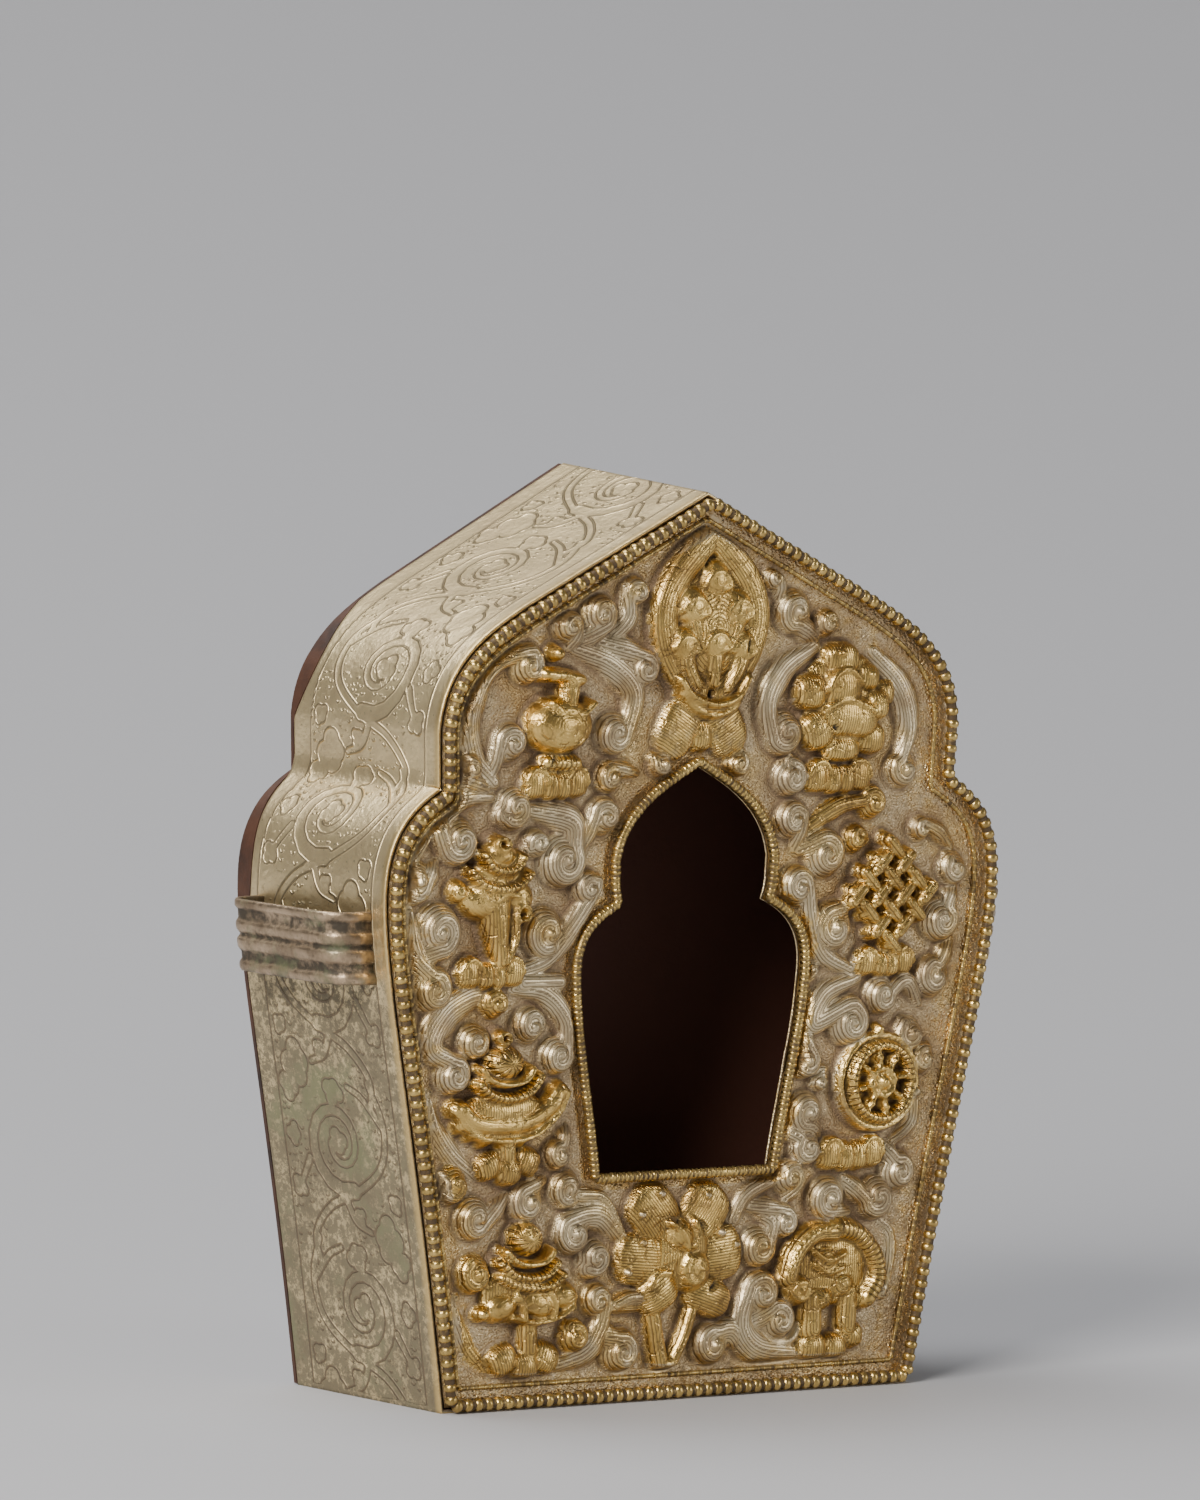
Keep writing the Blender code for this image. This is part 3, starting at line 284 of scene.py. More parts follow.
class Carving:
    """What is worked on the face: vines, volutes, leaves and the signs between them."""

    # Each row is a volute: its middle, radius, hand, tail angle, vine, vine's width, peak and gilding.
    upper_left = (
        (-12.6, 113.7, 2.3, 1, 175, ((-13.7, 110.0), (-16.5, 106.9)), 1.2),
        (-18.9, 110.6, 3.2, -1, -80, ((-22.8, 106.6),), 1.1),
        (-24.4, 109.0, 2.6, -1, -20, ((-24.0, 105.8),), 1.0),
        (-10.8, 102.9, 2.9, 1, 95, ((-18.5, 106.7),), 1.4),
        (-15.6, 93.8, 3.2, 1, -10, ((-12.2, 99.5), (-16.5, 103.6), (-22.8, 105.8)), 1.6),
        (-31.4, 103.7, 3.0, 1, 95, ((-38.3, 103.6), (-41.4, 97.0), (-40.0, 91.0), (-36.2, 87.3)), 1.7),
        (-34.1, 92.9, 3.0, 1, 185, ((-36.6, 88.0),), 0.8),
        (-41.3, 89.3, 2.7, 1, -95, ((-37.4, 86.6),), 0.9),
        (-16.2, 87.6, 2.5, -1, 60, ((-10.6, 88.0),), 0.8, 3.0, 0.5),
        (-7.0, 89.2, 1.9, -1, 150, (), 0.8),
    )

    middle_left = (
        (-33.1, 83.6, 3.2, -1, -150, (), 1.0),
        (-42.7, 79.2, 3.6, -1, 195, ((-46.0, 82.6), (-41.8, 85.1), (-36.6, 85.2)), 1.2),
        (-50.1, 73.7, 3.4, 1, 0, ((-46.2, 76.4),), 1.1),
        (-45.7, 66.6, 4.3, -1, -100, ((-49.6, 62.8),), 1.4),
        (-46.4, 58.6, 3.6, 1, 100, ((-50.0, 64.0), (-50.6, 69.5)), 1.4),
        (-17.0, 82.2, 3.0, 1, 190, ((-20.4, 77.4),), 1.0),
        (-24.0, 76.1, 4.2, 1, 40, ((-22.6, 81.6), (-29.6, 83.3)), 1.5),
        (-28.8, 78.6, 2.2, 1, 200, (), 0.8),
        (-19.5, 72.0, 2.7, -1, 10, ((-22.5, 66.0), (-26.0, 62.2), (-30.6, 60.6)), 1.3),
        (-26.8, 66.0, 3.8, 1, -60, (), 1.0),
        (-35.3, 56.3, 2.4, 1, 180, (), 0.8, 3.0, 0.9),
        (-29.0, 53.0, 2.9, -1, 0, (), 0.8),
        (-23.9, 48.6, 3.0, 1, 30, ((-22.6, 53.6), (-26.4, 57.4), (-31.6, 58.2)), 1.3),
        (-38.8, 51.0, 2.8, 1, 20, (), 0.8),
        (-42.3, 46.5, 3.2, 1, 100, ((-46.2, 50.6), (-44.0, 54.8), (-39.6, 57.0), (-36.4, 57.3)), 1.9),
    )

    lower_left = (
        (-41.8, 30.9, 2.9, -1, 150, (), 0.8, 3.0, 0.7),
        (-46.0, 44.0, 0.9, 1, 270, ((-44.7, 39.2), (-41.6, 35.2), (-37.0, 31.9)), 1.3, 1.4),
        (-37.7, 26.1, 3.3, 1, -20, ((-31.7, 29.0),), 1.1),
        (-28.5, 27.9, 3.2, -1, 90, ((-24.9, 31.0),), 0.9),
        (-21.5, 29.6, 2.9, 1, -60, (), 0.9),
        (-23.2, 34.4, 2.4, -1, 60, ((-21.4, 38.6),), 0.9),
        (-20.1, 23.1, 3.3, -1, 110, ((-15.6, 25.6), (-11.0, 22.2)), 1.5),
        (-16.1, 19.5, 3.0, -1, -130, (), 0.9),
        (-37.3, 18.2, 3.0, -1, 120, (), 0.9, 3.0, 0.9),
        (-15.4, 13.5, 2.6, -1, 0, ((-14.6, 9.2), (-17.2, 6.0), (-22.2, 4.4)), 1.4),
        (-19.2, 8.6, 2.6, 1, 120, (), 0.8, 3.0, 0.9),
        (-10.7, 6.0, 3.4, 1, 110, ((-15.4, 8.7),), 1.3),
        (-40.0, 15.0, 0.8, -1, 200, ((-38.0, 8.4), (-34.0, 4.4)), 1.0, 1.2, 0.8),
    )

    upper_right = (
        (12.3, 115.2, 1.9, -1, 20, ((14.0, 112.0),), 0.9),
        (16.4, 110.6, 3.4, 1, -70, ((21.0, 106.6),), 1.2),
        (22.4, 108.8, 2.2, -1, 0, (), 0.8),
        (15.2, 93.2, 3.4, -1, 185, ((12.2, 97.6), (15.0, 102.2), (21.0, 105.4)), 1.5),
        (16.7, 87.0, 3.1, 1, 90, (), 0.9),
        (6.8, 89.1, 2.3, 1, 60, (), 0.8, 3.0, 0.4),
        (37.4, 87.5, 2.9, -1, 100, ((38.4, 94.0), (36.4, 100.0), (31.6, 104.6)), 1.6),
    )

    middle_right = (
        (17.3, 80.8, 3.0, -1, 10, ((18.2, 76.4),), 1.0),
        (31.8, 83.0, 2.7, 1, 170, ((25.4, 82.4), (19.6, 79.0)), 1.1, 3.0, 0.7),
        (23.6, 75.8, 3.8, 1, 120, ((18.9, 76.2),), 1.2),
        (29.1, 77.8, 2.3, -1, 0, (), 0.8, 3.0, 0.7),
        (18.6, 71.2, 3.3, -1, 0, ((21.6, 66.4), (24.0, 61.6), (29.4, 59.0)), 1.3),
        (25.4, 65.1, 3.9, -1, 80, ((28.8, 68.0),), 1.1),
        (41.2, 78.9, 2.0, -1, 40, ((44.6, 78.6), (47.6, 76.2)), 0.9),
        (47.6, 73.0, 2.6, -1, 120, (), 0.8),
        (45.5, 65.8, 3.5, 1, 60, ((48.4, 70.4),), 1.1),
        (44.4, 57.5, 3.3, -1, 60, ((48.0, 62.8),), 1.1),
        (34.9, 55.2, 3.0, 1, 10, ((39.6, 57.0), (42.6, 53.6)), 1.0),
        (29.2, 51.5, 3.8, 1, 100, ((22.6, 51.6), (24.6, 55.6), (31.0, 57.6)), 1.3),
        (40.3, 49.3, 2.8, -1, 120, (), 0.8),
        (43.0, 45.7, 2.4, -1, 60, (), 0.8),
        (21.2, 46.2, 2.9, 1, 60, ((20.6, 50.6),), 1.0),
    )

    lower_right = (
        (23.9, 43.0, 1.5, 1, 60, ()),
        (41.3, 41.2, 2.0, -1, 90, ((41.4, 36.6), (37.4, 33.0)), 0.9),
        (21.7, 38.7, 3.3, 1, -70, ((24.6, 35.4),), 1.1),
        (22.0, 33.6, 2.8, -1, 130, ((18.4, 36.4),), 0.9),
        (19.1, 29.5, 2.8, -1, -30, ((18.6, 26.2),), 1.0),
        (26.3, 26.2, 3.5, 1, -80, ((30.6, 24.0),), 1.2),
        (35.2, 25.9, 3.4, -1, 180, ((29.6, 29.0),), 1.1, 3.0, 0.3),
        (39.2, 29.6, 3.1, 1, 110, ((36.6, 33.8),), 0.9),
        (18.2, 23.2, 2.7, 1, 100, ((12.0, 25.6),), 1.2),
        (13.8, 19.8, 3.2, 1, 10, ((16.2, 23.4), (12.6, 25.4)), 1.0),
        (14.5, 13.2, 3.6, 1, 180, ((11.2, 8.6), (14.4, 5.2), (22.4, 4.0)), 1.7),
        (17.8, 9.2, 3.3, 1, 150, ((12.8, 8.6),), 1.2),
        (5.7, 6.1, 3.4, -1, 60, ((9.6, 8.0), (13.0, 4.4)), 1.4),
        (37.3, 12.2, 1.4, 1, 0, ((39.0, 20.0), (36.6, 22.6)), 0.8, 1.6),
    )

    def scrolls(self) -> list[Scroll]:
        """All volutes with their vines."""
        rows = (self.upper_left + self.middle_left + self.lower_left
                + self.upper_right + self.middle_right + self.lower_right)
        return [Scroll(*row) for row in rows]

    def emblems(self) -> list:
        """All raised gilt figures."""
        return (self.jewel_plaque() + self.treasure_vase() + self.lotus_cluster() + self.conch()
                + self.endless_knot() + self.parasol() + self.wheel() + self.victory_banner()
                + self.lotus_blossom() + self.pair_of_fish())

    @staticmethod
    def leaves() -> list[Ridge]:
        """Loose leaves between the volutes."""
        return [
            Ridge(((-51.4, 75.8), (-48.6, 79.8)), 1.5, 1.6, LINED, 0.0),
            Ridge(((-30.2, 59.0), (-23.6, 58.9)), 1.5, 1.6, LINED, 0.2),
            Ridge(((9.2, 23.8), (11.4, 27.2), (15.8, 29.2)), 1.4, 1.6, LINED, 0.0),
            Ridge(((14.6, 7.5), (17.2, 5.9), (20.6, 5.9), (22.4, 8.4)), 0.9, 1.3, PLAIN, 0.0),
            Ridge(((-19.2, 28.6), (-14.4, 27.8), (-10.4, 22.4)), 1.5, 1.7, LINED, 0.0, 0.3),
            Ridge(((-12.2, 12.6), (-6.6, 12.6)), 1.3, 2.0, LINED, 0.6),
            Ridge(((22.6, 59.0), (20.8, 57.4)), 1.2, 1.4, LINED, 0.0),
        ]

    @staticmethod
    def slits() -> list[Dome]:
        """Small splits in the sheet, at its sharpest folds."""
        places = ((-0.4, 117.8, 0.4, 1.2, -20), (6.4, 106.0, 0.45, 1.4, -12), (23.3, 94.0, 0.4, 1.0, 50),
                  (-27.2, 90.3, 0.35, 1.1, -45), (-2.2, 24.1, 0.35, 1.3, -50), (2.5, 23.7, 0.35, 1.5, 50),
                  (4.7, 14.7, 0.4, 1.3, -55))
        return [Dome(u, v, across, along, 0.8, turn) for u, v, across, along, turn in places]

    @staticmethod
    def ring(u: float, v: float, across: float, along: float, width: float, rise: float,
             tool: Tool = PLAIN, gilt: float = 1.0) -> Ridge:
        """A closed oval bar."""
        turns = np.linspace(0.0, 2 * math.pi, 13)
        way = tuple((u + across * math.cos(a), v + along * math.sin(a)) for a in turns)
        return Ridge(way, width, rise, tool, gilt)

    @staticmethod
    def knobs(way: Way, spacing: float, size: float, rise: float) -> list[Dome]:
        """Small round swellings in a row along a smooth way."""
        return [Dome(float(u), float(v), size, size, rise) for u, v in smooth_way(way, spacing)]

    @staticmethod
    def feet(*rows: tuple) -> list[Dome]:
        """Broad combed petals under a sign: the place, half sizes, rise and turn of each."""
        return [Dome(*row, 0.3, COMBED) for row in rows]

    @staticmethod
    def petals(u: float, v: float, size: float, spread: float, rise: float = 2.3) -> list:
        """The curled leaves under a sign: one to each side, with a rim, and a heart between them.

        Args:
            u: the middle, across.
            v: the middle, up.
            size: a leaf's half width.
            spread: how far the outer leaves stand from the middle.
            rise: their height.
        Returns:
            The shapes.
        """
        parts: list = []
        for side in (-1, 1):
            leaf = u + side * spread
            parts += [Dome(leaf, v + 0.2, size * 1.08, size * 1.05, rise, 0, 0.22, COMBED),
                      Ridge(((leaf - size * 0.95, v + 0.2), (leaf - size * 0.4, v + size * 0.98),
                             (leaf + size * 0.5, v + size * 0.95), (leaf + size * 0.9, v)), 0.4, rise + 0.5),
                      Dome(u + side * size * 0.5, v - 0.2, size * 0.72, size * 0.98, rise + 0.5, 0, 0.22,
                           COMBED)]
        return parts

    def jewel_plaque(self) -> list:
        """The leaf-shaped plaque at the top, with its heap of jewels over a crescent."""
        middle = 0.7
        half = ((0.0, 122.0), (3.2, 119.0), (6.6, 115.2), (8.3, 110.8),
                (7.6, 106.2), (5.2, 102.2), (2.4, 99.4))
        leaf = tuple((middle + u, v) for u, v in half)
        parts: list = [Dome(0.7, 109.0, 9.0, 10.4, 2.3, 0, 0.22, LINED),
                       Dome(0.9, 108.4, 6.4, 8.6, 3.5, 0, 0.35, LINED)]
        for side in (leaf, tuple((2 * middle - u, v) for u, v in leaf)):
            parts.append(Ridge(side, 2.3, 2.8, LINED, 1.0, 1.0, 0.14))
        for u, v, size, rise in ((1.0, 114.9, 3.0, 3.6), (-3.1, 111.2, 3.1, 3.9), (5.0, 110.8, 3.0, 3.9),
                                 (-4.7, 105.9, 2.8, 4.2), (0.9, 106.2, 2.9, 4.3), (5.9, 105.4, 2.6, 4.2)):
            foot = (middle + (u - middle) * 0.5, v - 5.6)
            curl = ((u - size * 0.8, v - 0.2), (u - size * 0.4, v + size * 0.5),
                    (u + size * 0.3, v + size * 0.5), (u + size * 0.75, v - 0.4), (u + size * 0.2, v - 0.9))
            parts += [Ridge(((u, v), (0.1 + 0.85 * u, v - 2.8), foot), size * 0.94, rise - 0.4, LINED,
                            1.0, 0.35, 0.35),
                      Dome(u, v + 0.3, size, size * 1.1, rise, 0, 0.35),
                      Ridge(curl, 0.42, rise + 0.6)]
        parts += [Ridge(((-5.4, 101.4), (-3.2, 99.0), (1.0, 97.7), (5.0, 98.7), (6.9, 101.6)), 0.9, 4.1),
                  Ridge(((-4.8, 99.4), (-2.4, 97.3), (1.0, 96.2), (4.6, 97.1), (6.4, 99.6)), 0.8, 3.4),
                  Dome(-4.0, 94.4, 4.7, 3.6, 2.1, 60, 0.2, COMBED, 0.6),
                  Dome(4.4, 94.4, 4.7, 3.6, 2.1, -60, 0.2, COMBED, 0.6),
                  Dome(0.2, 93.2, 2.2, 2.6, 2.2, 0, 0.4, COMBED, 0.7)]
        return parts

    def treasure_vase(self) -> list:
        """Ball finial, folded collar, lined neck, belly with a swirl, and ribbed foot."""
        return [
            Dome(-26.9, 105.3, 1.5, 1.4, 3.4),
            Ridge(((-29.4, 102.5), (-26.4, 102.2), (-23.0, 101.6)), 1.25, 3.7),
            Ridge(((-28.4, 101.6), (-26.2, 102.6), (-24.0, 101.0)), 0.4, 4.2),
            Ridge(((-24.5, 101.0), (-24.8, 97.6)), 2.0, 3.5, LINED),
            Dome(-25.9, 95.2, 6.1, 4.4, 4.8),
            Ridge(((-28.6, 98.5), (-26.2, 97.0), (-23.2, 96.8), (-20.9, 98.4)), 0.7, 4.5),
            self.ring(-24.2, 93.6, 1.3, 1.0, 0.35, 4.9),
            Ridge(((-27.9, 90.0), (-22.9, 89.8)), 1.4, 2.9, RIBBED),
        ] + self.petals(-25.9, 86.9, 2.2, 3.6)

    def lotus_cluster(self) -> list:
        """Cupped petals with small balls, in layers over a wide lined petal."""
        cups = ((24.9, 103.6, 3.0, 2.3, 3.3, 0), (29.8, 101.0, 1.9, 1.9, 3.2, 0),
                (33.4, 98.6, 1.5, 1.8, 2.6, 0), (19.6, 99.0, 2.5, 2.4, 3.2, 0),
                (24.7, 99.7, 3.3, 2.9, 4.0, 0), (26.2, 95.5, 5.2, 2.9, 3.9, -6),
                (31.3, 97.0, 2.0, 2.1, 3.8, 0), (21.0, 93.6, 2.6, 2.7, 3.2, 20),
                (25.6, 90.8, 3.1, 1.8, 3.0, 0), (31.0, 92.2, 2.4, 2.2, 2.8, 0))
        balls = ((24.0, 104.6, 4.3), (29.7, 101.5, 4.1), (19.5, 99.8, 4.1),
                 (23.2, 99.6, 4.9), (31.6, 97.8, 4.4))
        parts: list = [Dome(25.8, 97.2, 7.2, 7.4, 2.5, 0, 0.25, COMBED)]
        parts += [Dome(u, v, 1.12 * a, 1.12 * b, rise, turn, 0.26, COMBED) for u, v, a, b, rise, turn in cups]
        parts += [Dome(u, v, 0.9, 0.85, rise) for u, v, rise in balls]
        parts += [Ridge(((21.6, 99.4), (22.8, 101.7), (25.6, 102.2), (27.8, 100.2)), 0.55, 4.5),
                  Ridge(((21.6, 97.0), (24.6, 97.9), (27.6, 97.5), (31.0, 95.8)), 0.5, 4.5),
                  Ridge(((27.2, 97.4), (27.6, 95.0), (27.0, 93.0)), 0.4, 4.3)]
        return parts + self.petals(25.4, 86.7, 2.3, 3.7)

    def conch(self) -> list:
        """Ringed crown, two ribbed rings, and a body that curls and tapers."""
        return [
            self.ring(-36.4, 78.9, 1.1, 0.85, 0.5, 4.7),
            Dome(-36.1, 77.2, 3.4, 2.3, 4.0),
            Ridge(((-39.4, 77.3), (-38.2, 75.7), (-35.9, 75.0), (-33.6, 75.6), (-32.6, 77.1)),
                  0.95, 4.5, RIBBED),
            Dome(-36.1, 74.4, 5.2, 2.6, 3.2),
            Ridge(((-41.2, 75.0), (-39.6, 73.4), (-36.2, 72.5), (-33.0, 73.0), (-31.0, 74.6)),
                  0.95, 4.0, RIBBED),
            Dome(-38.3, 70.7, 4.6, 3.0, 3.4, -15, 0.45),
            Dome(-42.5, 72.2, 1.8, 1.9, 2.7),
            Dome(-32.2, 71.0, 3.0, 2.8, 3.2, 20, 0.45),
            self.ring(-32.0, 69.0, 1.2, 1.1, 0.45, 4.0),
            Ridge(((-39.8, 72.4), (-37.6, 70.8), (-35.6, 71.8), (-33.0, 71.4)), 0.5, 4.1),
            Ridge(((-36.6, 72.2), (-36.0, 67.4), (-35.4, 62.2)), 4.0, 3.5, LINED, 1.0, 0.35, 0.5),
            Ridge(((-33.2, 68.6), (-33.0, 65.6), (-34.4, 62.2)), 0.9, 3.4, LINED),
        ] + self.petals(-36.3, 60.5, 2.1, 3.7)

    def endless_knot(self) -> list:
        """Eight bands that weave over and under one another, with square eyes between them."""
        u, v, gap, width = 35.3, 69.8, 3.05, 1.3
        a = math.sqrt(0.5)
        offsets = (-1.5 * gap, -0.5 * gap, 0.5 * gap, 1.5 * gap)
        reach = 1.5 * gap + 0.6

        def spot(right: float, left: float) -> tuple[float, float]:
            """A place given by its distances along both diagonals."""
            return (u + a * (right - left), v + 1.06 * a * (right + left))

        parts: list = []
        for offset in offsets:
            parts += [Ridge((spot(offset, -reach), spot(offset, reach)), width, 2.9, LINED),
                      Ridge((spot(-reach, offset), spot(reach, offset)), width, 2.9, LINED)]
        for row, right in enumerate(offsets):
            for column, left in enumerate(offsets):
                if (row + column) % 2:
                    way = (spot(right - 1.3, left), spot(right + 1.3, left))
                else:
                    way = (spot(right, left - 1.3), spot(right, left + 1.3))
                parts.append(Ridge(way, width, 3.7, LINED))
        return parts + self.petals(35.2, 59.9, 2.0, 3.3)

    def parasol(self) -> list:
        """Ring finial, notched dome, two rings and the wide cloth under them."""
        return [
            self.ring(-34.4, 51.5, 0.95, 0.75, 0.5, 3.8),
            Dome(-33.9, 48.0, 3.6, 2.8, 4.6, 0, 0.5, FLUTED),
            Ridge(((-38.6, 47.3), (-37.0, 45.7), (-34.0, 45.0), (-31.0, 45.5), (-29.6, 47.2)), 0.8, 4.3),
            Ridge(((-38.8, 45.2), (-36.6, 43.6), (-33.2, 43.0), (-29.8, 43.9), (-28.0, 46.0)),
                  1.05, 4.0, RIBBED),
            Ridge(((-41.0, 41.4), (-39.0, 39.8), (-34.6, 39.2), (-29.4, 39.6), (-25.6, 41.6), (-24.2, 43.2)),
                  1.7, 3.2, PLAIN, 1.0, 1.0, 0.3),
            Dome(-33.2, 40.4, 7.2, 3.7, 3.0, 0, 0.25, COMBED),
            Ridge(((-42.2, 41.0), (-38.8, 37.9), (-33.8, 37.0), (-28.4, 37.5), (-24.2, 40.4), (-22.4, 43.6)),
                  0.5, 3.3),
            Dome(-42.0, 41.7, 1.6, 1.6, 3.1),
            Dome(-23.6, 43.7, 1.6, 1.6, 3.3),
            Ridge(((-32.6, 37.0), (-32.3, 34.2)), 1.7, 2.6, LINED),
        ] + self.feet((-35.3, 33.4, 2.4, 2.1, 2.4, 20), (-32.1, 32.5, 2.3, 2.2, 2.9, 0),
                      (-28.7, 33.8, 2.4, 2.2, 2.5, -20)) \
            + self.knobs(((-40.8, 39.6), (-36.6, 37.5), (-30.4, 37.3), (-25.4, 40.2)), 2.6, 1.7, 2.6)

    def wheel(self) -> list:
        """Ribbed rim within a thin one, eight spokes with knobs, and a hub."""
        u, v = 34.5, 42.8
        parts: list = [Dome(u, v, 7.0, 6.8, 1.6, 0, 0.2, PLAIN, 0.8),
                       self.ring(u, v, 7.0, 6.8, 0.6, 2.6, PLAIN, 0.6),
                       self.ring(u, v, 5.4, 5.3, 1.05, 3.7, RIBBED),
                       Dome(u, v, 1.5, 1.5, 4.5), self.ring(u, v, 2.1, 2.1, 0.5, 3.9)]
        for spoke in range(8):
            a = math.pi * spoke / 4 + 0.2
            across, along = math.cos(a), math.sin(a)
            way = tuple((u + reach * across, v + reach * along) for reach in (1.4, 4.6))
            parts += [Ridge(way, 0.7, 3.5),
                      Dome(u + 3.7 * across, v + 3.7 * along, 0.95, 0.8, 4.1, math.degrees(a))]
        return parts + [Dome(34.4, 50.4, 1.0, 0.9, 2.8)] + self.petals(30.2, 32.4, 2.3, 3.7)

    def victory_banner(self) -> list:
        """Rounded cap, smooth and ribbed rings, and a swag of cloth."""
        return [
            Dome(-29.0, 22.9, 3.0, 2.8, 4.5, 0, 0.5, FLUTED),
            self.ring(-29.4, 24.0, 1.2, 0.8, 0.4, 4.9),
            Ridge(((-33.1, 21.4), (-31.4, 19.9), (-28.8, 19.4), (-26.2, 19.8), (-24.8, 21.2)), 0.8, 4.3),
            Ridge(((-33.6, 19.7), (-31.6, 18.1), (-28.6, 17.5), (-25.6, 17.9), (-23.8, 19.5)),
                  0.95, 4.0, RIBBED),
            Ridge(((-33.6, 17.7), (-31.0, 16.5), (-28.0, 16.0), (-24.6, 16.3), (-22.4, 17.7)),
                  0.9, 3.5, RIBBED),
            Dome(-28.2, 15.0, 7.6, 4.2, 2.4, 0, 0.25, COMBED),
            Dome(-32.6, 13.5, 3.4, 2.3, 3.0, 15, 0.4),
            Dome(-26.2, 13.7, 4.4, 2.6, 3.2, -10, 0.4),
            Dome(-21.4, 14.4, 2.7, 2.3, 2.9, -20, 0.4),
            Ridge(((-30.8, 15.3), (-29.4, 13.4), (-29.2, 11.4)), 0.5, 3.9),
            Ridge(((-24.8, 15.5), (-23.6, 13.6), (-24.0, 11.8)), 0.5, 3.7),
            Ridge(((-31.0, 12.0), (-27.4, 11.1), (-23.6, 11.4), (-20.2, 13.0)), 0.5, 3.5),
            Dome(-35.9, 12.6, 1.5, 1.3, 2.8),
            Ridge(((-27.6, 10.8), (-27.4, 7.0)), 1.8, 2.5, LINED),
        ] + self.feet((-31.7, 5.8, 2.6, 2.4, 2.4, 20), (-28.0, 4.8, 2.5, 2.2, 2.7, 0),
                      (-24.3, 5.8, 2.6, 2.4, 2.4, -20))

    def lotus_blossom(self) -> list:
        """Open flower at the foot: lined petals with dots, a folded bud, a coil and a forked stem."""
        coil = tuple((1.0 + (2.7 - 0.32 * n) * math.cos(0.8 * n + 2.2), 17.2 + (2.7 - 0.32 * n)
                      * math.sin(0.8 * n + 2.2)) for n in range(8))
        dots = ((-8.4, 25.5, 0.85), (-5.0, 28.3, 0.9), (3.4, 27.8, 0.85), (-10.6, 17.3, 0.95),
                (-8.0, 21.5, 0.8), (6.2, 22.3, 1.0), (9.0, 20.5, 0.8))
        parts: list = [
            Dome(-5.6, 25.6, 4.2, 4.6, 2.5, 42, 0.18, COMBED),
            Dome(3.6, 25.4, 4.1, 4.5, 2.5, -36, 0.18, COMBED),
            Dome(-7.4, 19.0, 4.0, 4.8, 2.4, 84, 0.18, COMBED),
            Dome(6.8, 19.2, 4.1, 4.0, 2.3, -84, 0.18, COMBED),
            Dome(-0.6, 19.6, 5.0, 5.6, 3.0, 0, 0.25, COMBED),
            Dome(-1.6, 22.2, 3.3, 3.0, 4.3, -30, 0.6),
            Ridge(((-3.8, 24.2), (-1.8, 22.6), (-0.8, 20.4)), 0.6, 4.9),
            Ridge(((0.6, 24.4), (1.0, 22.4), (0.4, 20.6)), 0.6, 4.6),
            Dome(1.0, 17.2, 3.5, 3.4, 4.0, 0, 0.35),
            Ridge(coil, 0.55, 4.8, PLAIN, 1.0, 0.7),
            Dome(-4.7, 14.2, 3.2, 3.8, 3.3, 120, 0.3, COMBED),
            Ridge(((-7.0, 15.2), (-5.6, 17.0), (-3.2, 17.0)), 0.5, 3.8),
            Ridge(((-12.4, 12.7), (-9.4, 13.7), (-6.4, 13.2)), 1.3, 2.5, LINED, 0.3),
            Dome(4.6, 13.2, 3.0, 4.4, 3.0, -110, 0.3, COMBED),
            Ridge(((-5.2, 10.8), (-4.4, 7.0), (-3.4, 3.6)), 1.6, 2.5, LINED),
            Ridge(((1.8, 11.2), (0.4, 7.4), (-1.6, 3.8)), 1.2, 2.3, LINED),
            Dome(-2.5, 3.8, 1.9, 1.3, 2.5),
        ]
        return parts + [Dome(u, v, size, size * 0.85, 3.4, 0, 0.5, PLAIN, 0.4) for u, v, size in dots]

    def pair_of_fish(self) -> list:
        """Two scaled fish that arch over and meet."""
        return [
            Ridge(((18.8, 15.2), (20.0, 18.6), (23.2, 21.2), (27.0, 21.4)), 1.8, 3.5, LINED),
            Dome(27.0, 16.2, 7.4, 5.6, 2.5, 0, 0.25, COMBED),
            Dome(25.6, 17.2, 4.1, 3.2, 3.0, 0, 0.5, LINED),
            Ridge(((27.6, 22.0), (31.0, 21.2), (34.2, 18.2), (35.0, 14.6), (33.2, 11.6)), 1.8, 3.8, RIBBED),
            Ridge(((22.8, 19.0), (25.6, 17.4), (28.8, 18.4)), 0.5, 3.7),
            Ridge(((23.2, 17.0), (25.6, 15.6), (28.6, 16.4)), 0.5, 3.6),
            Dome(20.7, 13.4, 2.9, 2.5, 3.4, -30, 0.4),
            self.ring(20.8, 13.3, 1.6, 1.4, 0.4, 4.0),
            Dome(20.8, 13.3, 0.7, 0.6, 4.4),
            Dome(28.8, 13.9, 2.7, 2.4, 3.2, 0, 0.5, LINED),
            Dome(25.2, 12.0, 2.4, 2.1, 3.2, 0, 0.4, FLUTED),
            Ridge(((23.7, 12.0), (23.9, 7.4)), 2.1, 2.8, LINED),
            Ridge(((30.6, 12.4), (30.4, 7.6)), 1.9, 2.7, LINED),
        ] + self.feet((24.3, 4.9, 2.6, 2.3, 2.6, 0), (28.4, 4.7, 2.4, 2.1, 2.5, 0),
                      (31.7, 6.2, 2.1, 2.0, 2.3, 0)) \
            + self.knobs(((18.6, 16.8), (20.2, 19.6), (22.8, 21.6), (26.2, 22.5)), 1.1, 0.75, 4.3) \
            + self.knobs(((29.8, 22.8), (33.4, 20.8), (35.9, 17.4), (36.6, 14.4)), 1.2, 0.6, 3.4)


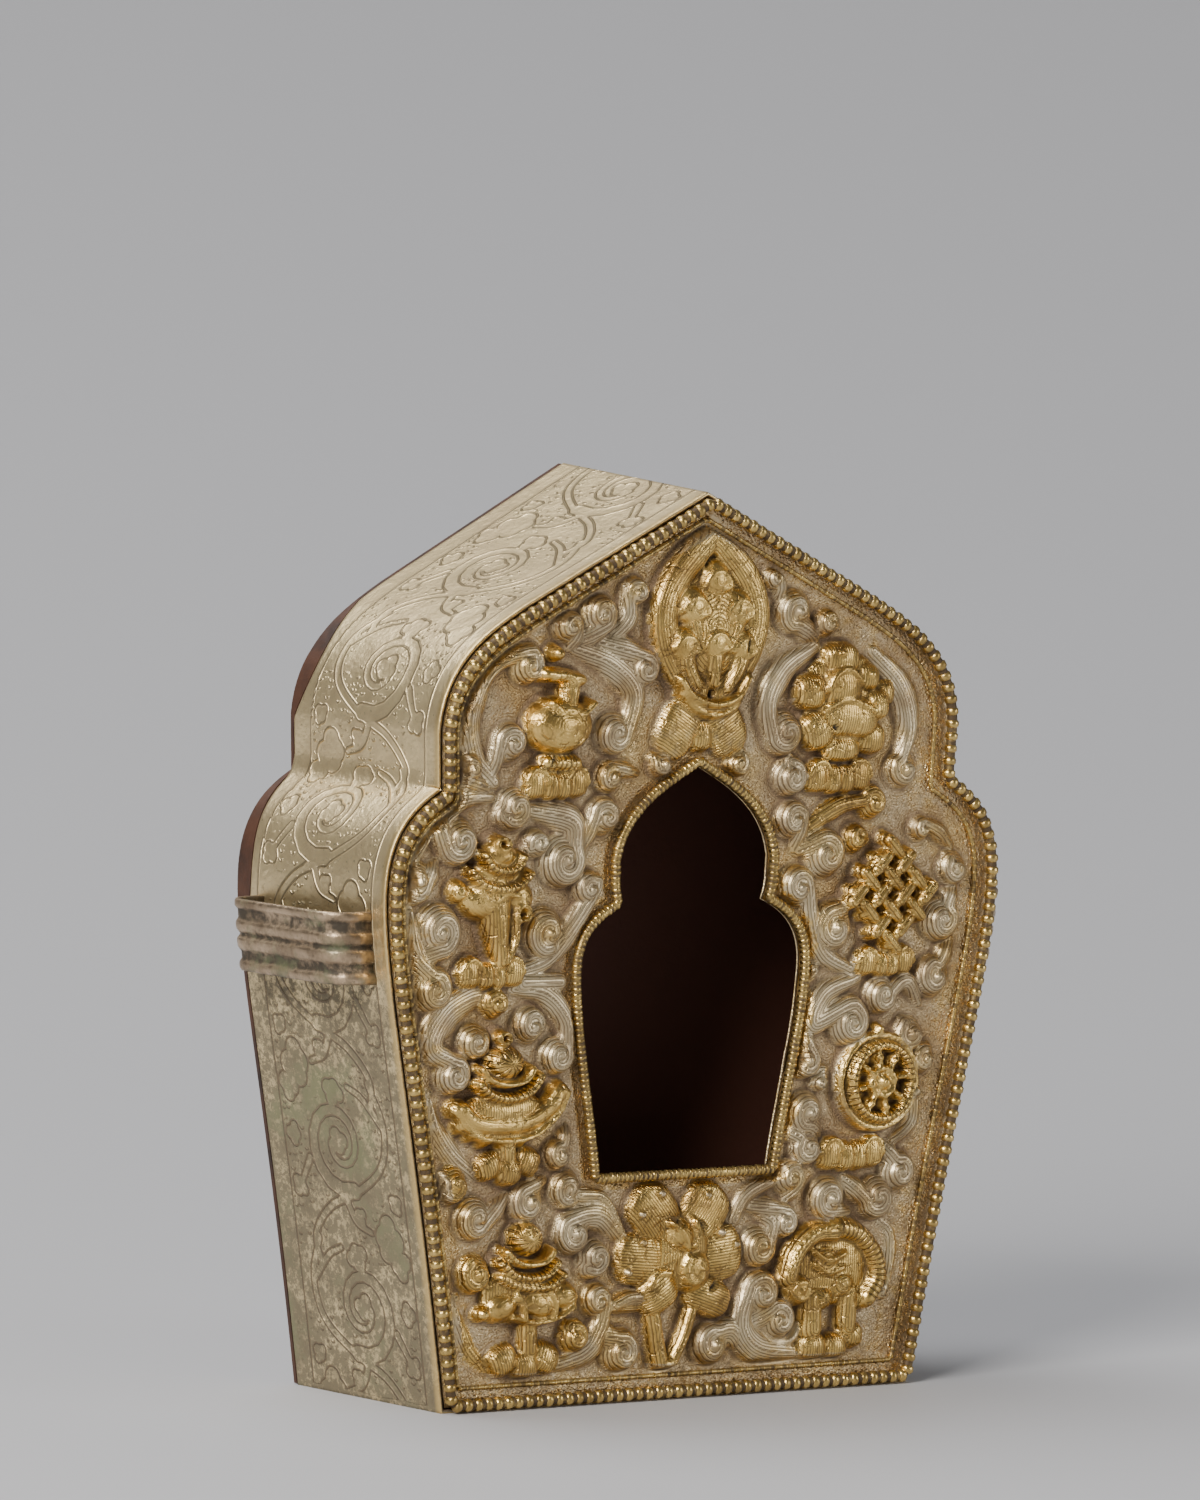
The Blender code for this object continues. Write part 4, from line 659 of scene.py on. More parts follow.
class Relief:
    """The face's height, gilding and chased lines on an even grid of places."""

    step = 0.165
    turns = 1.0
    tip_share = 0.20
    lip_share = 0.64
    band_share = 0.37
    wind = 0.75
    cone_slope = 0.25
    rib_pitch = 0.85
    line_pitch = 0.42
    flutes = 14
    flange_width = 3.0
    full_rise = 3.5
    press = 0.72
    seam_cut = 0.3
    leaf_rise = 0.4
    leaf_reach = 1.4
    border_reach = 4.2
    border_gilt = 0.45
    wash_gilt = 0.46
    wash_end = 14.0
    wash_width = 9.0

    def __init__(self, carving: Carving) -> None:
        """Works all shapes into the grid, from the leaves to the slits.

        Args:
            carving: the shapes.
        """
        self.us = np.arange(-56.1, 56.2, self.step)
        self.vs = np.arange(-1.65, 128.8, self.step)
        shape = (len(self.vs), len(self.us))
        self.height = np.zeros(shape)
        self.gilt = np.zeros(shape)
        self.line = np.zeros(shape)
        self.chase = np.zeros(shape)
        self.near = np.full(shape, 6.0)
        self.owner = np.zeros(shape, int)
        self.stamped = 0
        for leaf in carving.leaves():
            self.stamp_ridge(leaf)
        for scroll in carving.scrolls():
            self.stamp_scroll(scroll)
        for part in carving.emblems():
            if isinstance(part, Ridge):
                self.stamp_ridge(part)
            else:
                self.stamp_dome(part)
        self.fill_ground()
        self.fit_edges()
        self.cavity = self.sunken()
        self.slit = np.zeros(shape)
        for slit in carving.slits():
            self.cut_slit(slit)

    def patch(self, u0: float, v0: float, u1: float, v1: float, margin: float = 3.0) -> tuple:
        """The grid's part round a box: its slices and its places as rows.

        Args:
            u0: the box's left side.
            v0: its foot.
            u1: its right side.
            v1: its top.
            margin: how far the part goes past the box.
        Returns:
            The slices and the places.
        """
        i0, i1 = np.searchsorted(self.us, (u0 - margin, u1 + margin))
        j0, j1 = np.searchsorted(self.vs, (v0 - margin, v1 + margin))
        uu, vv = np.meshgrid(self.us[i0:i1], self.vs[j0:j1])
        return (slice(j0, j1), slice(i0, i1)), np.stack([uu.ravel(), vv.ravel()], 1)

    def lay(self, where: tuple, height: np.ndarray, line: np.ndarray, chase: float, gilt: float,
            away: np.ndarray, joined: bool = False) -> None:
        """Keeps a shape wherever it stands higher than what is there already.

        Args:
            where: the grid's part.
            height: the shape's height there.
            line: the coordinate that its chased lines follow.
            chase: how strongly the lines show.
            gilt: how thickly it is gilded.
            away: distance outside the shape's outline.
            joined: whether it is one with the shape laid before it.
        """
        shape = self.height[where].shape
        height = height.reshape(shape)
        higher = height > self.height[where]
        for grid, value in ((self.height, height), (self.line, line.reshape(shape)),
                            (self.chase, np.full(shape, chase)), (self.gilt, np.full(shape, gilt))):
            grid[where] = np.where(higher, value, grid[where])
        self.stamped += 0 if joined else 1
        self.owner[where] = np.where(higher, self.stamped, self.owner[where])
        self.near[where] = np.minimum(self.near[where], away.reshape(shape))

    def spiral(self, scroll: Scroll) -> list[tuple[float, float]]:
        """The middle of a volute's band, from its tip out to where the vine leaves.

        Args:
            scroll: the volute.
        Returns:
            The places, from the tip out.
        """
        turns = self.turns if scroll.radius > 2.0 else 0.8
        count = round(turns * 9)
        points = []
        for step in range(count + 1):
            share = step / count
            angle = math.radians(scroll.tail) - scroll.hand * 2 * math.pi * turns * (1.0 - share)
            away = scroll.radius * (self.tip_share + (self.lip_share - self.tip_share) * share ** self.wind)
            points.append((scroll.u + away * math.cos(angle), scroll.v + away * math.sin(angle)))
        return points

    def stamp_scroll(self, scroll: Scroll) -> None:
        """A volute: a band that winds out from a raised tip and runs on as its vine.

        Args:
            scroll: its row.
        """
        radius = scroll.radius
        coil = smooth_way(self.spiral(scroll), 0.5)
        way = smooth_way(self.spiral(scroll) + list(scroll.way), 0.5)
        low, high = way.min(0) - scroll.width, way.max(0) + scroll.width
        where, points = self.patch(low[0], low[1], high[0], high[1])
        away, along = distance_to_way(points, way)
        wound = float(np.hypot(*np.diff(coil, axis=0).T).sum())
        vine = float(np.hypot(*np.diff(way, axis=0).T).sum()) - wound
        stations = (0.0, 0.35 * wound, wound, wound + 0.5 * vine, wound + vine + 1e-3)
        band = self.band_share * radius
        end = 0.7 * scroll.width if scroll.way else 0.3 * band
        width = np.interp(along, stations, (0.7 * band, band, 1.1 * band, 1.65 * scroll.width, end))
        peak = scroll.peak
        rise = np.interp(along, stations, (0.95 * peak, 0.9 * peak, 0.72 * peak, 0.62 * peak, 0.35 * peak))
        height = rise * np.clip(1.0 - (away / width) ** 2, 0.0, None) ** 0.3
        du, dv = (points - (scroll.u, scroll.v)).T
        inward = 1.0 - np.hypot(du, dv) / radius
        cone = peak * (0.42 + self.cone_slope * inward) * np.clip(6.0 * inward, 0.0, 1.0) ** 0.5
        height = np.maximum(height, np.where(inward > 0.0, cone, 0.0))
        self.lay(where, height, away, 1.0, scroll.gilt, np.minimum(away - width, -inward * radius))
        tip = 0.25 * radius
        spread = np.hypot(du, dv) / tip
        knob = (peak + 0.45) * np.clip(1.0 - spread ** 2, 0.0, None) ** 0.5
        self.lay(where, knob, spread, 0.0, scroll.gilt, (spread - 1.0) * tip, True)

    def stamp_ridge(self, ridge: Ridge) -> None:
        """A bar with a rounded top along a smooth way.

        Args:
            ridge: the bar.
        """
        way = smooth_way(ridge.way, 0.8)
        low, high = way.min(0) - ridge.width, way.max(0) + ridge.width
        where, points = self.patch(low[0], low[1], high[0], high[1])
        away, along = distance_to_way(points, way)
        length = float(np.hypot(*np.diff(way, axis=0).T).sum())
        width = ridge.width * (1.0 + (ridge.taper - 1.0) * along / length)
        height = ridge.rise * np.clip(1.0 - (away / width) ** 2, 0.0, None) ** ridge.power
        line = along * self.line_pitch / self.rib_pitch if ridge.tool is RIBBED else away
        chase = {PLAIN: 0.2, RIBBED: 4.4}.get(ridge.tool, 1.0)
        self.lay(where, height, line, chase, ridge.gilt, away - width)

    def oval(self, dome: Dome) -> tuple:
        """The grid's part round an oval, with both of its own coordinates there, 1 at its outline.

        Args:
            dome: the oval.
        Returns:
            The grid's part and the two coordinates.
        """
        reach = max(dome.across, dome.along)
        where, points = self.patch(dome.u - reach, dome.v - reach, dome.u + reach, dome.v + reach)
        turn = math.radians(dome.turn)
        du = points[:, 0] - dome.u
        dv = points[:, 1] - dome.v
        across = (du * math.cos(turn) + dv * math.sin(turn)) / dome.across
        along = (dv * math.cos(turn) - du * math.sin(turn)) / dome.along
        return where, across, along

    def cut_slit(self, slit: Dome) -> None:
        """A split in the sheet, painted near black for the shade seen through it."""
        where, across, along = self.oval(slit)
        share = np.clip(1.8 - 1.8 * np.hypot(across, along), 0.0, 1.0).reshape(self.height[where].shape)
        self.height[where] -= np.minimum(slit.rise * share, self.height[where])
        self.slit[where] = np.maximum(self.slit[where], share)

    def stamp_dome(self, dome: Dome) -> None:
        """A rounded swelling.

        Args:
            dome: its oval, height and tool.
        """
        where, across, along = self.oval(dome)
        square = 2.7 if dome.tool is COMBED else 2.0
        spread = (np.abs(across) ** square + np.abs(along) ** square) ** (1.0 / square)
        height = dome.rise * np.clip(1.0 - spread ** 2, 0.0, None) ** dome.power
        size = min(dome.across, dome.along)
        turns = np.abs(np.arctan2(across, along)) / (2 * math.pi)
        line = {COMBED: across * dome.across,
                FLUTED: turns * self.flutes * self.line_pitch}.get(dome.tool, spread * size)
        chase = {PLAIN: 0.2, FLUTED: 4.0}.get(dome.tool, 1.0)
        self.lay(where, height, line, chase, dome.gilt, (spread - 1.0) * size)

    def fill_ground(self) -> None:
        """The lined leaves that fill the ground follow the outlines round them; a cut parts the shapes."""
        seam = np.zeros(self.height.shape)
        for axis in (0, 1):
            differs = np.diff(self.owner, axis=axis) != 0
            seam[tuple(slice(1, None) if a == axis else slice(None) for a in (0, 1))] += differs
            seam[tuple(slice(None, -1) if a == axis else slice(None) for a in (0, 1))] += differs
        seam = self.blurred(np.minimum(seam, 1.0), 1)
        tall = np.maximum(0.0, self.height - self.full_rise)
        self.height = np.minimum(self.height, self.full_rise) + self.press * tall
        self.height = np.maximum(0.0, self.height - self.seam_cut * seam)
        bare = self.near > 0.0
        swell = self.leaf_rise * np.sqrt(np.clip(self.near - 0.15, 0.0, self.leaf_reach) / self.leaf_reach)
        self.height = self.blurred(np.where(bare, swell, self.height), 1)
        self.line = np.where(bare, self.near, self.line)
        self.chase = np.where(bare, 0.35, self.chase)
        self.ground = self.blurred(bare.astype(float), 1)

    def fit_edges(self) -> None:
        """Lets the carving sink towards the beading's seat and the window's wire."""
        uu, vv = np.meshgrid(self.us, self.vs)
        points = np.stack([uu.ravel(), vv.ravel()], 1)
        edge = distance_to_loop(points, face_outline())
        edge = np.where(inside_loop(points, face_outline()), edge, -edge).reshape(uu.shape)
        window = distance_to_loop(points, window_outline())
        window = np.where(inside_loop(points, window_outline()), -window, window).reshape(uu.shape)
        near_edge = SIZES.bead_radius + 0.3
        seat = SIZES.ground - near_edge
        flange = seat * np.clip((near_edge + self.flange_width - edge) / self.flange_width, 0.0, 1.0)
        free = np.clip((edge - 2.9) / 0.7, 0.0, 1.0) * np.clip((window - 1.0) / 0.6, 0.0, 1.0)
        self.height = np.maximum(flange, self.height * free)
        self.chase = self.chase * (free > 0.6)
        self.gilt = np.where(window < 2.0, np.maximum(self.gilt, 0.5), self.gilt)
        wash = self.wash_gilt * np.clip((self.wash_end - edge) / self.wash_width, 0.0, 1.0)
        self.gilt = np.where(edge < self.border_reach, self.border_gilt, np.maximum(self.gilt, wash))

    def sunken(self) -> np.ndarray:
        """How far each place lies under the mean height close round it and further round it."""
        close = self.blurred(self.height, 2) - self.height
        return 1.35 * close + 0.22 * (self.blurred(self.height, 8) - self.height)

    @staticmethod
    def blurred(grid: np.ndarray, reach: int) -> np.ndarray:
        """A grid smoothed by two box means each way.

        Args:
            grid: the values.
            reach: half a box's width in cells.
        Returns:
            The smoothed grid.
        """
        for _ in range(2):
            for axis in (0, 1):
                padded = np.pad(grid, [(reach + 1, reach) if a == axis else (0, 0) for a in (0, 1)], "edge")
                total = np.cumsum(padded, axis=axis)
                size = 2 * reach + 1
                grid = (np.take(total, range(size, total.shape[axis]), axis)
                        - np.take(total, range(total.shape[axis] - size), axis)) / size
        return grid

    def read(self, grid: np.ndarray, points: np.ndarray) -> np.ndarray:
        """A grid's value at each place, between its four nearest.

        Args:
            grid: the values.
            points: the places, as rows.
        Returns:
            A value for each place.
        """
        x = (points[:, 0] - self.us[0]) / self.step
        y = (points[:, 1] - self.vs[0]) / self.step
        i = np.clip(x.astype(int), 0, len(self.us) - 2)
        j = np.clip(y.astype(int), 0, len(self.vs) - 2)
        fx = np.clip(x - i, 0.0, 1.0)
        fy = np.clip(y - j, 0.0, 1.0)
        return (grid[j, i] * (1 - fx) * (1 - fy) + grid[j, i + 1] * fx * (1 - fy)
                + grid[j + 1, i] * (1 - fx) * fy + grid[j + 1, i + 1] * fx * fy)


def place(points: np.ndarray) -> np.ndarray:
    """Model places, in metres, of rows given as u, depth and v in millimetres."""
    moved = np.array(points, float)
    moved[:, 1] += SIZES.front_plane
    moved[:, 2] += SIZES.foot_lift
    return moved * MM


def new_piece(name: str, vertices: np.ndarray, faces: Sequence, material: bpy.types.Material,
              attributes: dict[str, np.ndarray] | None = None) -> bpy.types.Object:
    """A smooth mesh piece at the origin, with its normals outwards.

    Args:
        name: the piece's name.
        vertices: places as rows, in metres.
        faces: vertex numbers of each face.
        material: the finish.
        attributes: values for each vertex, by name.
    Returns:
        The new object.
    """
    mesh = bpy.data.meshes.new(name)
    mesh.from_pydata(vertices.tolist(), [], [tuple(int(i) for i in face) for face in faces])
    for key, values in (attributes or {}).items():
        layer = mesh.attributes.new(key, "FLOAT", "POINT")
        layer.data.foreach_set("value", np.asarray(values, np.float32))
    mesh.polygons.foreach_set("use_smooth", np.ones(len(mesh.polygons), bool))
    mesh.materials.append(material)
    mesh.update()
    piece = bpy.data.objects.new(name, mesh)
    bpy.context.scene.collection.objects.link(piece)
    return piece


def triangles_between(points: np.ndarray, edges: list) -> np.ndarray:
    """Triangles over places whose given edges are kept."""
    result = delaunay_2d_cdt([Vector(point) for point in points], edges, [], 0, 1e-6, True)
    return np.array([[result[3][index][0] for index in face] for face in result[2]])


def loop_edges(loops: Sequence[np.ndarray], start: int = 0) -> list[tuple[int, int]]:
    """The closed edges of loops whose places are numbered one loop after another."""
    edges = []
    for loop in loops:
        edges += [(start + i, start + (i + 1) % len(loop)) for i in range(len(loop))]
        start += len(loop)
    return edges


class FrontSheet:
    """The carved face: an even mesh that meets its outlines through a fitted seam."""

    cell = 0.33
    clear = 0.6

    def __init__(self, relief: Relief, material: bpy.types.Material) -> None:
        """Makes the sheet from a finished relief."""
        self.relief = relief
        self.rim = offset_loop(face_outline(3), SIZES.sheet_edge)
        self.opening = offset_loop(window_outline(3), -0.35)
        self.piece = self.build(material)

    def allowed(self, points: np.ndarray) -> np.ndarray:
        """Whether places lie on the sheet, clear of both its edges."""
        free = inside_loop(points, self.rim) & ~inside_loop(points, self.opening)
        free &= distance_to_loop(points, self.rim) > self.clear * self.cell
        free &= distance_to_loop(points, self.opening) > self.clear * self.cell
        return free

    def build(self, material: bpy.types.Material) -> bpy.types.Object:
        """Makes the sheet's front, back and edges as one closed mesh.

        Args:
            material: its finish.
        Returns:
            The piece.
        """
        us = np.arange(-54.45, 54.5, self.cell)
        vs = np.arange(-0.33, 127.2, self.cell)
        uu, vv = np.meshgrid(us, vs)
        grid = np.stack([uu.ravel(), vv.ravel()], 1)
        free = self.allowed(grid).reshape(uu.shape)
        cells = free[:-1, :-1] & free[1:, :-1] & free[:-1, 1:] & free[1:, 1:]
        number = np.arange(uu.size).reshape(uu.shape)
        j, i = np.nonzero(cells)
        quads = np.stack([number[j, i], number[j, i + 1], number[j + 1, i + 1], number[j + 1, i]], 1)
        used = np.unique(quads)
        renumber = np.full(uu.size, -1)
        renumber[used] = np.arange(len(used))
        quads = renumber[quads]
        inner = grid[used]
        seam = self.seam_edges(cells, number, renumber)
        outer = np.vstack([self.rim, self.opening])
        seam_points = np.unique(np.array(seam))
        local = {int(n): k for k, n in enumerate(seam_points)}
        strip = np.vstack([inner[seam_points], outer])
        edges = [(local[a], local[b]) for a, b in seam]
        edges += loop_edges([self.rim, self.opening], len(seam_points))
        triangles = triangles_between(strip, edges)
        middles = strip[triangles].mean(axis=1)
        keep = inside_loop(middles, self.rim) & ~inside_loop(middles, self.opening)
        ci = np.clip(((middles[:, 0] - us[0]) / self.cell).astype(int), 0, cells.shape[1] - 1)
        cj = np.clip(((middles[:, 1] - vs[0]) / self.cell).astype(int), 0, cells.shape[0] - 1)
        keep &= ~cells[cj, ci]
        count = len(inner)
        back_to = np.concatenate([seam_points, count + np.arange(len(outer))])
        front = np.vstack([inner, outer])
        heights = self.relief.read(self.relief.height, front)
        vertices = [np.stack([front[:, 0], SIZES.ground - heights, front[:, 1]], 1)]
        behind = np.full(len(outer), SIZES.ground + SIZES.sheet)
        vertices.append(np.stack([outer[:, 0], behind, outer[:, 1]], 1))
        start = count + len(outer)
        rims = loop_edges([self.rim, self.opening])
        back = triangles_between(outer, rims)
        middles = outer[back].mean(axis=1)
        back = back[inside_loop(middles, self.rim) & ~inside_loop(middles, self.opening)]
        walls = [(count + b, count + a, start + a, start + b) for a, b in rims]
        walls = self.turned_out(walls, len(self.rim))
        faces = quads.tolist() + back_to[triangles[keep]].tolist() + (start + back[:, ::-1]).tolist() + walls
        extra = np.zeros(len(outer))
        values = {name: np.concatenate([self.relief.read(getattr(self.relief, name), front), extra])
                  for name in ("gilt", "line", "chase", "cavity", "ground", "slit")}
        return new_piece("worked_front", place(np.vstack(vertices)), faces, material, values)

    @staticmethod
    def turned_out(walls: list, rim_count: int) -> list:
        """Walls of both outlines; both run clockwise, so those of the opening are turned about."""
        return [wall if index < rim_count else wall[::-1] for index, wall in enumerate(walls)]

    @staticmethod
    def seam_edges(cells: np.ndarray, number: np.ndarray, renumber: np.ndarray) -> list[tuple[int, int]]:
        """Edges between cells that are filled and cells that aren't."""
        padded = np.pad(cells, 1)
        edges = []
        for j, i in zip(*np.nonzero(padded[1:, 1:-1] != padded[:-1, 1:-1])):
            edges.append((int(renumber[number[j, i]]), int(renumber[number[j, i + 1]])))
        for j, i in zip(*np.nonzero(padded[1:-1, 1:] != padded[1:-1, :-1])):
            edges.append((int(renumber[number[j, i]]), int(renumber[number[j + 1, i]])))
        return edges


class Engraving:
    """The band's pattern: a winding stem with coils and lobed leaves.

    Places are given by the distance from the apex round the outline, and the depth.
    """

    period = 24.0
    middle = 17.4
    stem_way = ((-2.0, 25.4), (4.0, 27.8), (10.0, 26.2), (14.3, 20.0), (17.2, 13.0), (21.6, 8.8), (26.0, 9.4))
    branches = (((15.6, 17.0), (18.8, 18.8), (20.0, 22.0)), ((4.0, 27.4), (0.4, 23.6), (-1.0, 20.4)),
                ((10.4, 9.6), (13.6, 7.4), (14.6, 6.6)))
    leaves = ((20.4, 24.8, 3.2, 80), (14.4, 6.8, 1.7, -40), (8.0, 16.8, 2.1, 200), (0.2, 7.6, 2.3, 250),
              (23.4, 17.6, 2.2, 20), (7.2, 7.0, 1.7, 265), (15.6, 28.0, 1.5, 130), (17.6, 19.4, 1.5, 30))

    @staticmethod
    def lobes(s: float, t: float, size: float, turn: float) -> list[tuple[float, float, float]]:
        """A leaf's three round lobes and its foot, as places with radii."""
        parts = [(s, t, 0.62 * size)]
        for lean, reach, share in ((-68.0, 0.62, 0.56), (0.0, 0.78, 0.62), (68.0, 0.62, 0.56)):
            a = math.radians(turn + lean)
            parts.append((s + reach * size * math.cos(a), t + reach * size * math.sin(a), share * size))
        return parts

    def shapes(self) -> list:
        """Stems as ways with widths, and the round lobes of leaves, from the apex down to the foot."""
        coil = []
        for step in range(19):
            angle = 0.35 - 0.42 * step
            radius = 7.1 - 0.27 * step
            coil.append((7.6 + radius * math.cos(angle), 16.8 + radius * math.sin(angle)))
        parts: list = []
        for index in range(-1, 7):
            start = self.period * index - 4.0
            flip = -1 if index % 2 else 1

            def put(s: float, t: float, start: float = start, flip: int = flip) -> tuple[float, float]:
                """A unit's place on the band."""
                return start + s, self.middle + flip * (t - self.middle)

            parts.append((smooth_way([put(*p) for p in self.stem_way], 0.8), 0.65, 0.65))
            parts.append((np.array([put(*p) for p in coil]), 1.3, 0.5))
            parts += [(smooth_way([put(*p) for p in branch], 0.8), 0.7, 0.5) for branch in self.branches]
            for leaf in self.leaves:
                parts += [(*put(s, t), radius) for s, t, radius in self.lobes(*leaf)]
        return parts

    def values(self, points: np.ndarray) -> dict[str, np.ndarray]:
        """Signed distance from the leaves' outlines, negative on a leaf, with both coordinates.

        Args:
            points: places along the band and across it.
        Returns:
            Values by attribute name.
        """
        away = np.full(len(points), 3.0)
        for shape in self.shapes():
            if isinstance(shape[0], np.ndarray):
                way, wide, narrow = shape
                close = np.nonzero(((points > way.min(0) - 4.0) & (points < way.max(0) + 4.0)).all(1))[0]
                distance, along = distance_to_way(points[close], way)
                distance = distance - (wide + (narrow - wide) * along / max(1e-9, along.max(initial=1.0)))
            else:
                s, t, radius = shape
                close = np.nonzero((np.abs(points - (s, t)) < radius + 3.0).all(1))[0]
                distance = np.hypot(*(points[close] - (s, t)).T) - radius
            away[close] = np.minimum(away[close], distance)
        inside = (points[:, 1] > 4.4) & (points[:, 1] < 30.4)
        border = np.minimum(np.abs(points[:, 1] - 4.2), np.abs(points[:, 1] - 30.6))
        away = np.where(inside, away, -3.0)
        away = np.where(border < np.abs(away), np.where(inside, border, -border), away)
        return {"outline": away, "along": points[:, 0], "deep": points[:, 1]}


class SideBand:
    """The engraved sheet wall round the box."""

    spacing = 0.42
    dips = ((60.0, 86.0), (94.0, 109.0))
    notch_height = 86.0
    notch_ease = 3.4

    def __init__(self, material: bpy.types.Material) -> None:
        """Makes the band."""
        self.piece = self.build(material)

    @staticmethod
    def back_depth(heights: np.ndarray) -> np.ndarray:
        """Depth of the back edge, which is cut back round the lobes and shoulders."""
        depth = np.full(len(heights), SIZES.depth)
        for low, high in SideBand.dips:
            share = np.clip((heights - low) / (high - low), 0.0, 1.0)
            depth -= SIZES.band_dip * np.sin(math.pi * share)
        return depth

    def build(self, material: bpy.types.Material) -> bpy.types.Object:
        """Makes outer face, inner face and rounded edges as one closed mesh.

        Args:
            material: its finish.
        Returns:
            The piece.
        """
        middle = np.array(face_outline(6))
        outline = offset_loop(middle, SIZES.band_reach)
        inner = offset_loop(middle, SIZES.band_reach - SIZES.band_wall)
        outline, inner, middle = self.resampled(outline, inner, middle)
        eased = self.eased(outline, middle)
        runs = np.hypot(*np.diff(np.vstack([outline, outline[:1]]), axis=0).T)
        around = np.concatenate([[0.0], np.cumsum(runs)[:-1]])
        around = np.minimum(around, runs.sum() - around)
        back = self.back_depth(middle[:, 1])
        rows = int((SIZES.depth - SIZES.band_front) / self.spacing)
        shares = np.linspace(0.0, 1.0, rows)
        vertices, points = [], []
        for share in shares:
            depth = SIZES.band_front + 0.12 + share * (back - SIZES.band_front - 0.24)
            settled = min(1.0, share * 5.0) ** 0.7
            vertices.append(self.ring(outline + settled * (eased - outline), depth))
            points.append(np.stack([around, depth], 1))
        rim_back = self.ring(eased + 0.3 * (inner - eased), back)
        inner_back = self.ring(inner, back - 0.1)
        inner_front = self.ring(inner, np.full(len(inner), SIZES.band_front + 0.1))
        rim_front = self.ring(outline + 0.3 * (inner - outline), np.full(len(inner), SIZES.band_front))
        vertices += [rim_back, inner_back, inner_front, rim_front]
        count = len(outline)
        total = len(vertices)
        faces = []
        order = np.arange(count)
        following = np.roll(order, -1)
        for row in range(total):
            a = row * count
            b = (row + 1) % total * count
            faces += np.stack([a + order, b + order, b + following, a + following], 1).tolist()
        values = Engraving().values(np.vstack(points))
        under = np.tile(middle[:, 1] < 0.5, rows)
        values["outline"] = np.where(under, -3.0, values["outline"])
        rims = {"outline": (-3.0, -6.0, -6.0, -3.0), "along": (0.0,) * 4, "deep": (30.0, 30.0, 30.0, 1.0)}
        values = {name: np.concatenate([grid, np.repeat(rims[name], count)]) for name, grid in values.items()}
        return new_piece("engraved_band", place(np.vstack(vertices)), faces, material, values)

    def eased(self, outline: np.ndarray, middle: np.ndarray) -> np.ndarray:
        """The outline with a soft hollow where the shoulder meets the lobe."""
        reach = int(self.notch_ease / self.spacing)
        soft = sum(np.roll(outline, shift, axis=0) for shift in range(-reach, reach + 1)) / (2 * reach + 1)
        away = np.abs(middle[:, 1] - self.notch_height)[:, None]
        return outline + np.clip(1.6 - away / 4.0, 0.0, 1.0) * (soft - outline)

    def resampled(self, *loops: np.ndarray) -> list[np.ndarray]:
        """Matching loops with extra places between theirs, so that neighbours are close."""
        first = loops[0]
        lengths = np.hypot(*np.diff(np.vstack([first, first[:1]]), axis=0).T)
        counts = np.maximum(1, np.round(lengths / self.spacing).astype(int))
        result = []
        for loop in loops:
            following = np.roll(loop, -1, axis=0)
            rows = [start + (end - start) * (np.arange(n) / n)[:, None]
                    for start, end, n in zip(loop, following, counts)]
            result.append(np.vstack(rows))
        return result

    @staticmethod
    def ring(loop: np.ndarray, depth: np.ndarray) -> np.ndarray:
        """A loop at a depth, with its roof climbing towards the back."""
        climb = SIZES.back_rise * np.maximum(0.0, depth) / SIZES.depth / (SIZES.apex - SIZES.roof_foot)
        lifted = loop[:, 1] + climb * np.maximum(0.0, loop[:, 1] - SIZES.roof_foot)
        return np.stack([loop[:, 0], depth, lifted], 1)


class BackTray:
    """The copper tray: a plate flush with the band, with a rim that slides inside it."""

    plate = 0.9
    rim = 9.0
    wall = 0.6
    gap = 0.3
    edge = 1.0
    bevel = 0.25

    def __init__(self, material: bpy.types.Material) -> None:
        """Makes the tray."""
        self.piece = self.build(material)

    def build(self, material: bpy.types.Material) -> bpy.types.Object:
        """Makes rim, step and plate as one closed mesh, with its outside marked.

        Args:
            material: its finish.
        Returns:
            The piece.
        """
        middle = np.array(face_outline(4))
        back = SIZES.depth + self.gap + self.plate
        front = SIZES.depth - self.rim
        seat = SideBand.back_depth(middle[:, 1]) + self.gap
        outer, inner = SIZES.sheet_edge, SIZES.sheet_edge - self.wall
        steps = ((inner, back - self.wall, 0.0), (inner, front, 0.0), (outer, front, 0.0), (outer, seat, 0.0),
                 (self.edge, seat, 1.0), (self.edge, back - self.bevel, 1.0),
                 (self.edge - self.bevel, back, 1.0))
        rings = [SideBand.ring(offset_loop(middle, reach), np.broadcast_to(depth, len(middle)))
                 for reach, depth, _ in steps]
        count = len(middle)
        order = np.arange(count)
        following = np.roll(order, -1)
        faces = []
        for row in range(len(steps) - 1):
            a = row * count
            b = a + count
            faces += np.stack([a + order, b + order, b + following, a + following], 1).tolist()
        faces.append(tuple(order))
        faces.append(tuple((len(steps) - 1) * count + order[::-1]))
        outside = np.repeat([mark for _, _, mark in steps], count)
        piece = new_piece("copper_tray", place(np.vstack(rings)), faces, material, {"outside": outside})
        piece.data.set_sharp_from_angle(angle=math.radians(40.0))
        return piece


@dataclass(frozen=True)
class BeadShape:
    """One bead of a wire: its half sizes, the wire's own radius, and the darkening between beads, part dirt
    and part painted shade.
    """
    across: float
    along: float
    core: float
    gap_dirt_and_shade: float = 0.8
    square: float = 2.4
    stations: int = 6
    sides: int = 10
    jitter: float = 0.06


